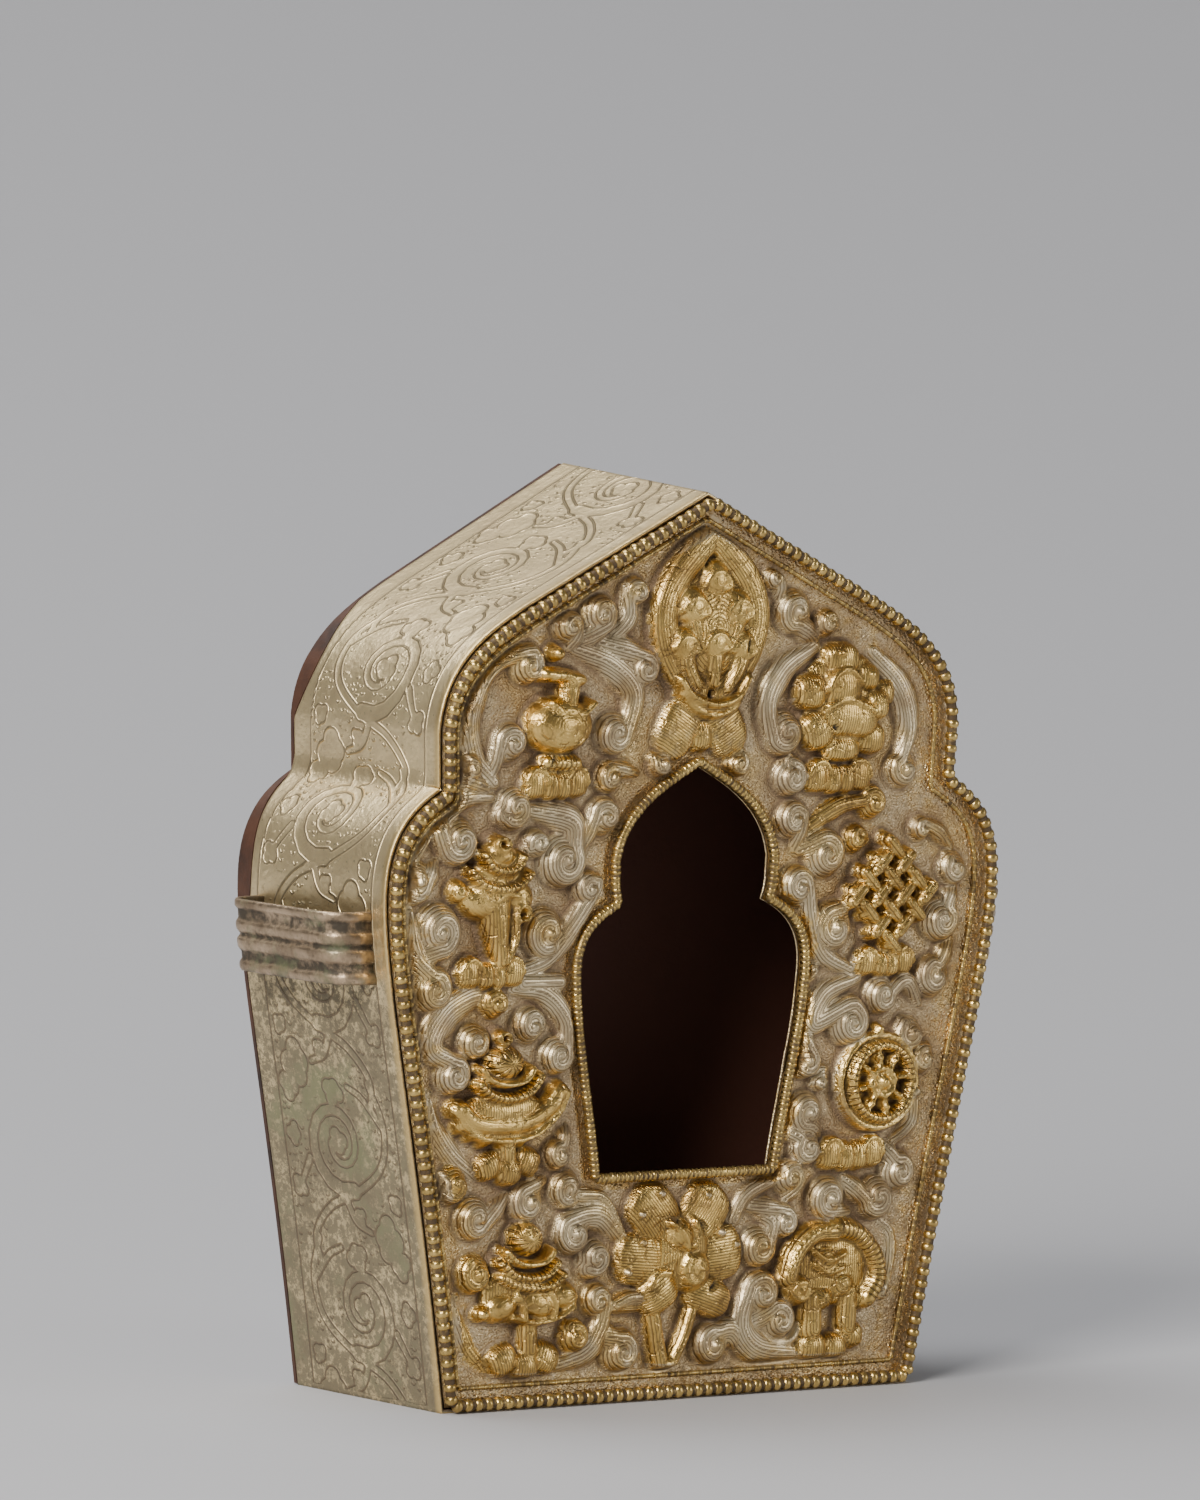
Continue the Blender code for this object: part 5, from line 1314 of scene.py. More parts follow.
class BeadedWire:
    """A wire of beads along a loop, placed by a node tree and turned into a plain mesh."""

    def __init__(self, name: str, loop: np.ndarray, depth: float, pitch: float, bead: BeadShape,
                 material: bpy.types.Material, corners: Sequence[int] = ()) -> None:
        """Makes the wire.

        Args:
            name: the piece's name.
            loop: the closed way that the beads follow.
            depth: the depth of the beads' middles.
            pitch: wanted distance between beads.
            bead: the shape of a bead.
            material: the finish.
            corners: numbers of the loop's places between which the beads are spaced.
        """
        self.name = name
        self.bead = bead
        self.material = material
        places, angles = self.stations(loop, pitch, corners)
        beads = self.instanced(places, angles, depth)
        tube = self.core(places, depth)
        self.piece = self.joined(beads, tube)

    @staticmethod
    def stations(loop: np.ndarray, pitch: float, corners: Sequence[int]) -> tuple[np.ndarray, np.ndarray]:
        """Middles and directions of the beads, evenly spaced between the loop's corners.

        Args:
            loop: the closed way.
            pitch: the wanted distance.
            corners: the corners' numbers.
        Returns:
            The beads' places and their angles.
        """
        marks = list(corners) or [0]
        places, angles = [], []
        for start, end in zip(marks, marks[1:] + [marks[0] + len(loop)]):
            way = np.array([loop[k % len(loop)] for k in range(start, end + 1)])
            runs = np.diff(way, axis=0)
            lengths = np.concatenate([[0.0], np.cumsum(np.hypot(*runs.T))])
            count = max(1, round(lengths[-1] / pitch))
            wanted = (np.arange(count) + 0.5) / count * lengths[-1]
            places.append(np.stack([np.interp(wanted, lengths, way[:, axis]) for axis in (0, 1)], 1))
            piece = np.clip(np.searchsorted(lengths, wanted) - 1, 0, len(runs) - 1)
            angles.append(np.arctan2(runs[piece, 1], runs[piece, 0]))
        return np.vstack(places), np.concatenate(angles)

    def bead_object(self) -> bpy.types.Object:
        """One bead lying along +X at the origin."""
        bead = self.bead
        a = np.linspace(-0.5 * math.pi, 0.5 * math.pi, bead.stations)
        x = bead.along * np.sign(np.sin(a)) * np.abs(np.sin(a)) ** (2.0 / bead.square)
        r = bead.across * np.abs(np.cos(a)) ** (2.0 / bead.square)
        turns = 2 * math.pi * np.arange(bead.sides) / bead.sides
        rows = [[(x[0], 0.0, 0.0)]]
        rows += [[(x[k], r[k] * math.cos(t), r[k] * math.sin(t)) for t in turns]
                 for k in range(1, bead.stations - 1)]
        rows.append([(x[-1], 0.0, 0.0)])
        vertices = np.array([p for row in rows for p in row]) * MM
        n = bead.sides
        last = 1 + (bead.stations - 2) * n
        faces = [(0, 1 + (k + 1) % n, 1 + k) for k in range(n)]
        for row in range(bead.stations - 3):
            s = 1 + row * n
            faces += [(s + k, s + (k + 1) % n, s + n + (k + 1) % n, s + n + k) for k in range(n)]
        s = last - n
        faces += [(last, s + k, s + (k + 1) % n) for k in range(n)]
        return new_piece(self.name + "_bead", vertices, faces, self.material)

    def instanced(self, places: np.ndarray, angles: np.ndarray, depth: float) -> bpy.types.Object:
        """Beads set on their places by a node tree.

        Args:
            places: the beads' middles.
            angles: their directions.
            depth: their depth.
        Returns:
            The beads as one mesh.
        """
        points = place(np.stack([places[:, 0], np.full(len(places), depth), places[:, 1]], 1))
        mesh = bpy.data.meshes.new(self.name)
        mesh.from_pydata(points.tolist(), [], [])
        layer = mesh.attributes.new("lean", "FLOAT", "POINT")
        layer.data.foreach_set("value", np.asarray(-angles, np.float32))
        piece = bpy.data.objects.new(self.name, mesh)
        bpy.context.scene.collection.objects.link(piece)
        bead = self.bead_object()
        tree = bead_tree()
        modifier = piece.modifiers.new("beads", "NODES")
        modifier.node_group = tree
        sockets = {item.name: item.identifier for item in tree.interface.items_tree
                   if item.item_type == "SOCKET" and item.in_out == "INPUT"}
        modifier[sockets["Bead"]] = bead
        modifier[sockets["Smallest"]] = 1.0 - self.bead.jitter
        modifier[sockets["Seed"]] = 7
        modifier[sockets["Material"]] = self.material
        bpy.context.view_layer.update()
        graph = bpy.context.evaluated_depsgraph_get()
        plain = bpy.data.meshes.new_from_object(piece.evaluated_get(graph))
        piece.modifiers.clear()
        piece.data = plain
        bpy.data.objects.remove(bead, do_unlink=True)
        return piece

    def core(self, places: np.ndarray, depth: float) -> tuple[np.ndarray, list]:
        """The wire that shows between the beads.

        Args:
            places: the beads' middles.
            depth: their depth.
        Returns:
            Its places and faces.
        """
        sides = 8
        radius = self.bead.core
        before = np.roll(places, 1, axis=0)
        after = np.roll(places, -1, axis=0)
        run = after - before
        run /= np.linalg.norm(run, axis=1)[:, None]
        aside = np.stack([-run[:, 1], run[:, 0]], 1)
        rings = []
        for k in range(sides):
            a = 2 * math.pi * k / sides
            out = places + aside * radius * math.cos(a)
            rings.append(np.stack([out[:, 0], np.full(len(out), depth + radius * math.sin(a)), out[:, 1]], 1))
        vertices = place(np.stack(rings, 1).reshape(-1, 3))
        count = len(places)
        faces = []
        for n in range(count):
            a, b = n * sides, (n + 1) % count * sides
            faces += [(a + (k + 1) % sides, a + k, b + k, b + (k + 1) % sides) for k in range(sides)]
        return vertices, faces

    def joined(self, beads: bpy.types.Object, tube: tuple[np.ndarray, list]) -> bpy.types.Object:
        """One piece from the beads and their wire.

        Args:
            beads: the beads.
            tube: the wire's places and faces.
        Returns:
            The piece.
        """
        mesh = beads.data
        beads.name = self.name + "_loose"
        count = len(mesh.vertices)
        vertices = np.empty(count * 3)
        mesh.vertices.foreach_get("co", vertices)
        faces = [tuple(polygon.vertices) for polygon in mesh.polygons]
        faces += [tuple(count + index for index in face) for face in tube[1]]
        # The wire between the beads is marked hollow, darkened with dirt and painted shade between the beads.
        hollow = np.concatenate([np.zeros(count), np.full(len(tube[0]), self.bead.gap_dirt_and_shade)])
        piece = new_piece(self.name, np.vstack([vertices.reshape(-1, 3), tube[0]]), faces, self.material,
                          {"hollow": hollow})
        bpy.data.objects.remove(beads, do_unlink=True)
        return piece


def bead_tree() -> bpy.types.GeometryNodeTree:
    """The node tree that sets one bead on each point, turned by the point's lean."""
    tree = bpy.data.node_groups.get("Beads on points")
    if tree:
        return tree
    tree = bpy.data.node_groups.new("Beads on points", "GeometryNodeTree")
    for name, kind in (("Points", "NodeSocketGeometry"), ("Bead", "NodeSocketObject"),
                       ("Smallest", "NodeSocketFloat"), ("Seed", "NodeSocketInt"),
                       ("Material", "NodeSocketMaterial")):
        tree.interface.new_socket(name=name, in_out="INPUT", socket_type=kind)
    tree.interface.new_socket(name="Wire", in_out="OUTPUT", socket_type="NodeSocketGeometry")
    nodes, links = tree.nodes, tree.links
    source = nodes.new("NodeGroupInput")
    bead = nodes.new("GeometryNodeObjectInfo")
    lean = nodes.new("GeometryNodeInputNamedAttribute")
    lean.data_type = "FLOAT"
    lean.inputs["Name"].default_value = "lean"
    turn = nodes.new("ShaderNodeCombineXYZ")
    swell = nodes.new("FunctionNodeRandomValue")
    swell.data_type = "FLOAT"
    spread = nodes.new("GeometryNodeInstanceOnPoints")
    real = nodes.new("GeometryNodeRealizeInstances")
    finish = nodes.new("GeometryNodeSetMaterial")
    target = nodes.new("NodeGroupOutput")
    swell.inputs["Max"].default_value = 1.0
    for giver, result, taker, entry in ((source, "Bead", bead, "Object"), (lean, "Attribute", turn, "Y"),
                                        (source, "Smallest", swell, "Min"),
                                        (source, "Seed", swell, "Seed"),
                                        (source, "Points", spread, "Points"),
                                        (bead, "Geometry", spread, "Instance"),
                                        (turn, "Vector", spread, "Rotation"),
                                        (swell, "Value", spread, "Scale"),
                                        (spread, "Instances", real, "Geometry"),
                                        (real, "Geometry", finish, "Geometry"),
                                        (source, "Material", finish, "Material"),
                                        (finish, "Geometry", target, "Wire")):
        links.new(giver.outputs[result], taker.inputs[entry])
    return tree


@dataclass(frozen=True)
class LoopSizes:
    """Sizes of a strap lug, in millimetres."""
    top: float = 69.4
    height: float = 10.2
    front: float = 4.6
    length: float = 25.6
    reach: float = 6.48
    wall: float = 0.9
    corner: float = 4.2
    gap: float = 0.02


class StrapLoop:
    """A ribbed strap that stands off one flank, open above and below."""

    ribs = ((0.0, 0.25), (0.03, 0.0), (0.10, 0.0), (0.15, 0.5), (0.27, 0.55), (0.31, 0.1), (0.36, 0.0),
            (0.43, 0.1), (0.49, 0.75), (0.55, 0.1), (0.61, 0.0), (0.68, 0.1), (0.73, 0.6), (0.83, 0.6),
            (0.88, 0.1), (0.93, 0.0), (0.97, 0.05), (1.0, 0.3))

    def __init__(self, name: str, side: int, material: bpy.types.Material) -> None:
        """Makes the lug on a side, -1 for the left and 1 for the right."""
        self.sizes = LoopSizes()
        self.side = side
        self.name = name
        self.outline = offset_loop(face_outline(3), SIZES.band_reach)
        self.piece = self.build(material)

    def flank(self, height: float) -> float:
        """How far out the band's face stands at a height."""
        half = self.outline[: len(self.outline) // 2]
        keep = half[half[:, 1] < 84.0]
        return float(np.interp(height, keep[::-1, 1], keep[::-1, 0]))

    def section(self, reach: float, inset: float) -> np.ndarray:
        """The strap's way out from the flank and back, as distances out and depths.

        Args:
            reach: how far it stands out.
            inset: how far it lies within the strap's outline.
        Returns:
            The way, as rows.
        """
        s = self.sizes
        front = s.front + inset
        back = s.front + s.length - inset
        corner = max(0.5, s.corner - inset)
        turns = np.linspace(0.0, 0.5 * math.pi, 8)
        rise = np.stack([reach - corner + corner * np.sin(turns), front + corner - corner * np.cos(turns)], 1)
        fall = np.stack([reach - corner + corner * np.cos(turns), back - corner + corner * np.sin(turns)], 1)
        middle = np.stack([np.full(8, reach), np.linspace(front + corner, back - corner, 10)[1:-1]], 1)
        feet = ((s.gap, front - 0.6 + inset), (s.gap, back + 0.6 - inset))
        return np.vstack([feet[:1], rise, middle, fall, feet[1:]])

    def build(self, material: bpy.types.Material) -> bpy.types.Object:
        """Makes the strap as one closed mesh.

        Args:
            material: its finish.
        Returns:
            The piece.
        """
        s = self.sizes
        outer = self.section(s.reach, 0.0)
        inner = self.section(s.reach - s.wall, s.wall)
        count = len(outer)
        levels = np.linspace(0.0, 1.0, 41)
        sinks = np.interp(levels, *np.array(self.ribs).T)
        spread = np.interp(np.arange(count), (0, 6, count - 7, count - 1), (0.8, 0.0, 0.0, -0.8))
        vertices = []
        for section, carved in ((outer, 1.0), (inner, 0.0)):
            for share, sink in zip(levels, sinks):
                height = s.top - s.height * share
                out = section[:, 0].copy()
                fade = np.clip((out - 0.8) / 2.0, 0.0, 1.0)
                depth = section[:, 1] + carved * sink * spread
                out -= carved * 0.95 * sink * fade
                vertices.append(np.stack([self.side * (self.flank(height) + out), depth,
                                          np.full(count, height)], 1))
        rows = len(levels)
        sheet = rows * count
        faces = []
        for row in range(rows - 1):
            a = row * count + np.arange(count - 1)
            faces += np.stack([a, a + 1, a + 1 + count, a + count], 1).tolist()
            faces += (sheet + np.stack([a, a + count, a + 1 + count, a + 1], 1)).tolist()
            for foot, turn in ((row * count, 1), (row * count + count - 1, -1)):
                faces.append((foot, foot + count, sheet + foot + count, sheet + foot)[::turn])
        for start, turn in ((0, -1), ((rows - 1) * count, 1)):
            for k in range(count - 1):
                faces.append((start + k, start + k + 1, sheet + start + k + 1, sheet + start + k)[::turn])
        if self.side > 0:
            faces = [tuple(face)[::-1] for face in faces]
        # Rib grooves and the strap's inner side are marked hollow, darkened with dirt and painted shadow.
        hollow = np.concatenate([np.repeat(sinks, count), np.full(rows * count, 0.7)])
        return new_piece(self.name, place(np.vstack(vertices)), faces, material, {"hollow": 0.9 * hollow})


# What an input takes: another node's socket, a number or a colour.
Socket = bpy.types.NodeSocket
Value = Socket | float
Colour = Socket | tuple[float, float, float]


class Graph:
    """Short ways to add nodes to a shader tree."""

    def __init__(self, tree: bpy.types.NodeTree) -> None:
        """Works on a tree."""
        self.tree = tree

    def add(self, kind: str, **inputs: Value) -> bpy.types.Node:
        """A node with some of its inputs set or linked; names use _ for a space."""
        node = self.tree.nodes.new(kind)
        for name, value in inputs.items():
            self.feed(node.inputs[name.replace("_", " ")], value)
        return node

    def group(self, tree: bpy.types.NodeTree, **inputs: Value) -> bpy.types.Node:
        """A group node with its inputs set or linked."""
        node = self.tree.nodes.new("ShaderNodeGroup")
        node.node_tree = tree
        for name, value in inputs.items():
            self.feed(node.inputs[name], value)
        return node

    def feed(self, socket: Socket, value: Value | Colour) -> None:
        """Sets a socket to a value, or links it from another socket."""
        if isinstance(value, bpy.types.NodeSocket):
            self.tree.links.new(value, socket)
        elif isinstance(value, tuple) and len(value) == 3 and socket.type == "RGBA":
            socket.default_value = (*value, 1.0)
        else:
            socket.default_value = value

    def math(self, operation: str, first: Value, second: Value = 0.0, clamp: bool = False) -> Socket:
        """The result of an arithmetic node."""
        node = self.tree.nodes.new("ShaderNodeMath")
        node.operation = operation
        node.use_clamp = clamp
        self.feed(node.inputs[0], first)
        self.feed(node.inputs[1], second)
        return node.outputs[0]

    def plus(self, first: Value, second: Value) -> Socket:
        """The sum of two values."""
        return self.math("ADD", first, second)

    def less(self, first: Value, second: Value, clamp: bool = False) -> Socket:
        """The first value less the second."""
        return self.math("SUBTRACT", first, second, clamp)

    def times(self, first: Value, second: Value) -> Socket:
        """The product of two values."""
        return self.math("MULTIPLY", first, second)

    def mix(self, share: Value, first: Colour, second: Colour) -> Socket:
        """A colour between two colours."""
        node = self.tree.nodes.new("ShaderNodeMix")
        node.data_type = "RGBA"
        self.feed(node.inputs["Factor"], share)
        self.feed(node.inputs[6], first)
        self.feed(node.inputs[7], second)
        return node.outputs[2]

    def span(self, value: Value, low: float, high: float, to_low: float = 0.0,
             to_high: float = 1.0) -> Socket:
        """A value moved smoothly from one span to another."""
        node = self.tree.nodes.new("ShaderNodeMapRange")
        node.interpolation_type = "SMOOTHSTEP"
        for name, item in (("Value", value), ("From Min", low), ("From Max", high),
                           ("To Min", to_low), ("To Max", to_high)):
            self.feed(node.inputs[name], item)
        return node.outputs["Result"]

    def attribute(self, name: str) -> Socket:
        """A vertex attribute's value."""
        node = self.tree.nodes.new("ShaderNodeAttribute")
        node.attribute_name = name
        return node.outputs["Fac"]

    def where(self) -> Socket:
        """The place on the object, in metres."""
        return self.tree.nodes.new("ShaderNodeTexCoord").outputs["Object"]

    def noise(self, scale: float, detail: float = 3.0, rough: float = 0.55) -> Socket:
        """Object-space noise, whose scale counts waves in each metre."""
        node = self.add("ShaderNodeTexNoise", Vector=self.where(), Scale=scale, Detail=detail,
                        Roughness=rough)
        return node.outputs["Fac"]


def shader_group(name: str, inputs: dict[str, float | tuple], outputs: dict[str, str],
                 fill: Callable) -> bpy.types.NodeTree:
    """A shader node group, built once.

    Args:
        name: the group's name.
        inputs: default of each input.
        outputs: socket kind of each output.
        fill: gets the graph and the input sockets, and returns a socket for each output.
    Returns:
        The group's tree.
    """
    tree = bpy.data.node_groups.get(name)
    if tree:
        return tree
    tree = bpy.data.node_groups.new(name, "ShaderNodeTree")
    for key, value in inputs.items():
        kind = "NodeSocketColor" if isinstance(value, tuple) else "NodeSocketFloat"
        tree.interface.new_socket(name=key, in_out="INPUT", socket_type=kind).default_value = value
    for key, kind in outputs.items():
        tree.interface.new_socket(name=key, in_out="OUTPUT", socket_type=kind)
    source = tree.nodes.new("NodeGroupInput")
    target = tree.nodes.new("NodeGroupOutput")
    results = fill(Graph(tree), source.outputs)
    for key, socket in results.items():
        tree.links.new(socket, target.inputs[key])
    return tree


def worn_metal_group() -> bpy.types.NodeTree:
    """Old metal: a clean colour that turns cloudy, dark in hollows with dirt and painted shade, and rougher
    there.
    """
    def fill(graph: Graph, given: Mapping[str, Socket]) -> dict[str, Socket]:
        """Colour, roughness and metal share from the given sockets."""
        cloud = graph.noise(150.0, 5.0, 0.65)
        speck = graph.noise(1500.0, 2.0)
        tone = graph.mix(graph.span(cloud, 0.35, 0.7), given["Bright"], given["Dull"])
        tone = graph.mix(graph.span(speck, 0.62, 0.8, 0.0, 0.5), tone, given["Dirt"])
        # Hollows are darkened towards the dark colour: partly dirt, partly painted shade.
        depth = graph.plus(given["Hollow"], graph.times(graph.less(cloud, 0.5), 0.5))
        darkening = graph.times(graph.span(depth, 0.05, 0.75), given["Soiling"])
        colour = graph.mix(darkening, tone, given["Dirt"])
        rough = graph.plus(given["Roughness"], graph.times(darkening, 0.3))
        rough = graph.plus(rough, graph.times(graph.less(cloud, 0.5), 0.2))
        metal = graph.less(1.0, graph.times(darkening, 0.75))
        return {"Colour": colour, "Roughness": rough, "Metallic": metal}
    return shader_group(
        "Worn metal",
        {"Bright": (0.7, 0.65, 0.5, 1.0), "Dull": (0.5, 0.45, 0.35, 1.0),
         "Dirt": (0.08, 0.05, 0.03, 1.0), "Hollow": 0.0, "Soiling": 0.8, "Roughness": 0.4},
        {"Colour": "NodeSocketColor", "Roughness": "NodeSocketFloat", "Metallic": "NodeSocketFloat"}, fill)


def chased_lines_group() -> bpy.types.NodeTree:
    """Fine chased lines that follow a coordinate: their height in millimetres, and where they are cut."""
    def fill(graph: Graph, given: Mapping[str, Socket]) -> dict[str, Socket]:
        """Height and cut from the given sockets."""
        wobble = graph.times(graph.less(graph.noise(350.0, 2.0), 0.5), 0.2)
        turns = graph.math("DIVIDE", graph.plus(given["Line"], wobble), given["Pitch"])
        wave = graph.math("SINE", graph.times(turns, 2 * math.pi))
        fine = graph.times(graph.less(graph.noise(2400.0, 2.0), 0.5), given["Grain"])
        cut = graph.times(graph.span(wave, 0.1, 1.0), given["Strength"])
        height = graph.times(cut, graph.times(given["Depth"], -2.0))
        return {"Height": graph.plus(height, fine), "Cut": graph.math("MINIMUM", cut, 1.0)}
    return shader_group(
        "Chased lines",
        {"Line": 0.0, "Pitch": 0.5, "Depth": 0.06, "Strength": 1.0, "Grain": 0.05},
        {"Height": "NodeSocketFloat", "Cut": "NodeSocketFloat"}, fill)


@dataclass(frozen=True)
class Finish:
    """A worn metal's colours and roughness."""
    name: str
    bright: tuple[float, float, float]
    dull: tuple[float, float, float]
    dirt_and_shade: tuple[float, float, float]
    roughness: float
    soil_shade_strength: float = 0.8
    verdigris: float = 0.0


# The third colour of each finish is its dark colour: dirt, and on the face, wires and straps also painted
# shade in hollows.
SILVER = Finish("face_silver", (0.74, 0.61, 0.38), (0.47, 0.35, 0.20), (0.115, 0.068, 0.038), 0.42, 0.9)
GILT = Finish("face_gilding", (0.88, 0.60, 0.19), (0.48, 0.295, 0.085), (0.070, 0.038, 0.016), 0.36, 0.95)
WALL = Finish("band_silver", (1.0, 0.80, 0.45), (0.76, 0.60, 0.345), (0.056, 0.050, 0.037), 0.42)
WIRE = Finish("wire_gilding", (0.74, 0.52, 0.18), (0.42, 0.28, 0.09), (0.085, 0.052, 0.022), 0.29, 1.0)
STRAP = Finish("strap_metal", (0.64, 0.48, 0.32), (0.31, 0.225, 0.145), (0.055, 0.042, 0.027), 0.38, 1.0, 0.6)


class Finishes:
    """The materials of the pieces."""

    def __init__(self) -> None:
        """Makes all five."""
        self.face = self.face_material()
        self.band = self.band_material()
        self.wire = self.plain_material(WIRE)
        self.strap = self.plain_material(STRAP)
        self.copper = self.copper_material()

    @staticmethod
    def start(name: str) -> tuple[bpy.types.Material, Graph, bpy.types.Node]:
        """A new material, its graph and its Principled node."""
        material = bpy.data.materials.new(name)
        material.use_nodes = True
        tree = material.node_tree
        return material, Graph(tree), tree.nodes["Principled BSDF"]

    @staticmethod
    def worn(graph: Graph, finish: Finish, hollow: Socket) -> bpy.types.Node:
        """The worn metal group set to a finish."""
        return graph.group(worn_metal_group(), Bright=finish.bright, Dull=finish.dull, Dirt=finish.dirt_and_shade,
                           Hollow=hollow, Soiling=finish.soil_shade_strength, Roughness=finish.roughness)

    @staticmethod
    def dress(graph: Graph, shader: bpy.types.Node, colour: Colour, rough: Value, metallic: Value,
              height: Socket) -> None:
        """Feeds the shader its colour, roughness and metal share, and a height in millimetres."""
        relief = graph.add("ShaderNodeBump", Height=height, Distance=MM, Strength=1.0)
        for name, value in (("Base Color", colour), ("Roughness", rough), ("Metallic", metallic),
                            ("Normal", relief.outputs["Normal"])):
            graph.feed(shader.inputs[name], value)

    def face_material(self) -> bpy.types.Material:
        """Silver relief with gilt figures, and dirt and painted shade in its hollows."""
        material, graph, shader = self.start("worked_silver")
        ground = graph.attribute("ground")
        # Hollows, and a little the bare ground, are darkened: partly dirt, partly painted shade.
        hollow = graph.plus(graph.attribute("cavity"), graph.times(ground, 0.12))
        edge = graph.times(graph.less(graph.noise(700.0, 3.0), 0.5), 0.5)
        gilt = graph.span(graph.plus(graph.attribute("gilt"), edge), 0.35, 0.65)
        gilt = graph.math("MAXIMUM", gilt, graph.span(graph.noise(110.0, 3.0), 0.47, 0.68, 0.0, 0.6))
        silver = self.worn(graph, SILVER, hollow)
        gold = self.worn(graph, GILT, hollow)
        chased = graph.group(chased_lines_group(), Line=graph.attribute("line"), Pitch=Relief.line_pitch,
                             Depth=0.034, Strength=graph.attribute("chase"), Grain=0.06)
        metal = graph.mix(gilt, silver.outputs["Colour"], gold.outputs["Colour"])
        metal = graph.mix(graph.times(ground, 0.3), metal, (0.55, 0.36, 0.19))
        # Chased lines and small folds are painted dark brown: dirt in them, and painted shade in their
        # grooves.
        crease = graph.times(self.creases(graph), graph.less(gilt, ground, True))
        lined = graph.math("MAXIMUM", graph.times(chased.outputs["Cut"], 0.62),
                           graph.times(crease, 0.45))
        metal = graph.mix(lined, metal, (0.15, 0.095, 0.052))
        slit = graph.attribute("slit")
        rough = graph.less(silver.outputs["Roughness"], graph.times(gilt, 0.13))
        punch = graph.times(graph.times(graph.noise(2600.0, 1.0), ground), 0.36)
        height = graph.plus(chased.outputs["Height"], punch)
        height = graph.less(height, graph.times(crease, 0.07))
        # Splits are painted near black and not metal, as painted shade seen through them.
        self.dress(graph, shader, graph.mix(slit, metal, (0.010, 0.007, 0.005)), rough,
                   graph.less(silver.outputs["Metallic"], slit, True), height)
        return material

    @staticmethod
    def creases(graph: Graph) -> Socket:
        """Where small chased folds run, broken up so that they don't close into cells."""
        cells = graph.add("ShaderNodeTexVoronoi", Vector=graph.where(), Scale=620.0)
        cells.feature = "DISTANCE_TO_EDGE"
        fold = graph.span(cells.outputs["Distance"], 0.03, 0.13, 1.0, 0.0)
        return graph.times(fold, graph.span(graph.noise(480.0, 2.0), 0.46, 0.58))

    def band_material(self) -> bpy.types.Material:
        """Tarnished silver with engraved leaves on a ground of small punched scales."""
        material, graph, shader = self.start("engraved_silver")
        outline = graph.attribute("outline")
        groove = graph.span(graph.math("ABSOLUTE", outline), 0.05, 0.27, 1.0, 0.0)
        spot = graph.add("ShaderNodeCombineXYZ", X=graph.attribute("along"), Y=graph.attribute("deep"))
        cells = graph.add("ShaderNodeTexVoronoi", Vector=spot.outputs["Vector"], Scale=0.78, Randomness=0.6)
        lean = graph.tree.nodes.new("ShaderNodeVectorMath")
        lean.operation = "SUBTRACT"
        graph.feed(lean.inputs[0], spot.outputs["Vector"])
        graph.feed(lean.inputs[1], cells.outputs["Position"])
        open_side = graph.add("ShaderNodeSeparateXYZ", Vector=lean.outputs["Vector"]).outputs["X"]
        ring = graph.math("ABSOLUTE", graph.less(cells.outputs["Distance"], 0.36))
        beside = graph.times(graph.span(outline, 0.25, 0.5), graph.span(outline, 1.2, 1.8, 1.0, 0.0))
        scales = graph.times(graph.span(ring, 0.04, 0.16, 1.0, 0.0), beside)
        scales = graph.times(scales, graph.span(open_side, -0.1, 0.15))
        scales = graph.times(scales, graph.span(graph.noise(90.0, 2.0), 0.44, 0.52))
        depth = graph.math("MAXIMUM", groove, graph.times(scales, 0.8))
        ground = graph.span(outline, -0.8, 0.2)
        height = graph.add("ShaderNodeSeparateXYZ", Vector=graph.where()).outputs["Z"]
        low = graph.span(height, 0.045, 0.075, 1.0, 0.0)
        speck = graph.span(graph.noise(1100.0, 5.0, 0.7), 0.48, 0.66, 0.0, 0.35)
        patch = graph.span(graph.noise(560.0, 8.0, 0.8), 0.45, 0.58)
        stain = graph.span(graph.noise(75.0, 3.0), 0.40, 0.62, 0.72, 1.05)
        # The band is darker towards the bottom, with dark patches, stains and specks.
        darkening = graph.times(low, graph.plus(0.52, graph.times(patch, 0.80)))
        darkening = graph.times(darkening, stain)
        darkening = graph.plus(darkening, graph.times(speck, graph.plus(0.35, low)))
        metal = self.worn(graph, WALL, darkening)
        green = graph.times(graph.span(graph.noise(70.0, 4.0, 0.65), 0.50, 0.68),
                            graph.plus(0.12, graph.times(low, 0.38)))
        tone = graph.mix(green, metal.outputs["Colour"], (0.13, 0.155, 0.06))
        tone = graph.mix(graph.span(outline, -5.5, -4.5, 0.8, 0.0), tone, (0.10, 0.055, 0.040))
        lip = graph.span(graph.attribute("deep"), 1.5, 2.7, 0.65, 0.0)
        tone = graph.mix(lip, tone, (0.66, 0.46, 0.17))
        # Engraved lines and punched scales are painted dark brown, more so low down: dirt in them, and
        # painted shade in their grooves.
        lined = graph.times(depth, graph.plus(0.62, graph.times(low, 0.25)))
        tone = graph.mix(lined, tone, (0.16, 0.115, 0.07))
        relief = graph.times(graph.plus(depth, graph.times(ground, 0.35)), -0.17)
        grain = graph.times(graph.noise(1300.0, 3.0), 0.10)
        dents = graph.times(graph.noise(130.0, 2.0), 0.4)
        self.dress(graph, shader, tone, metal.outputs["Roughness"],
                   graph.less(metal.outputs["Metallic"], green), graph.plus(graph.plus(relief, grain), dents))
        return material

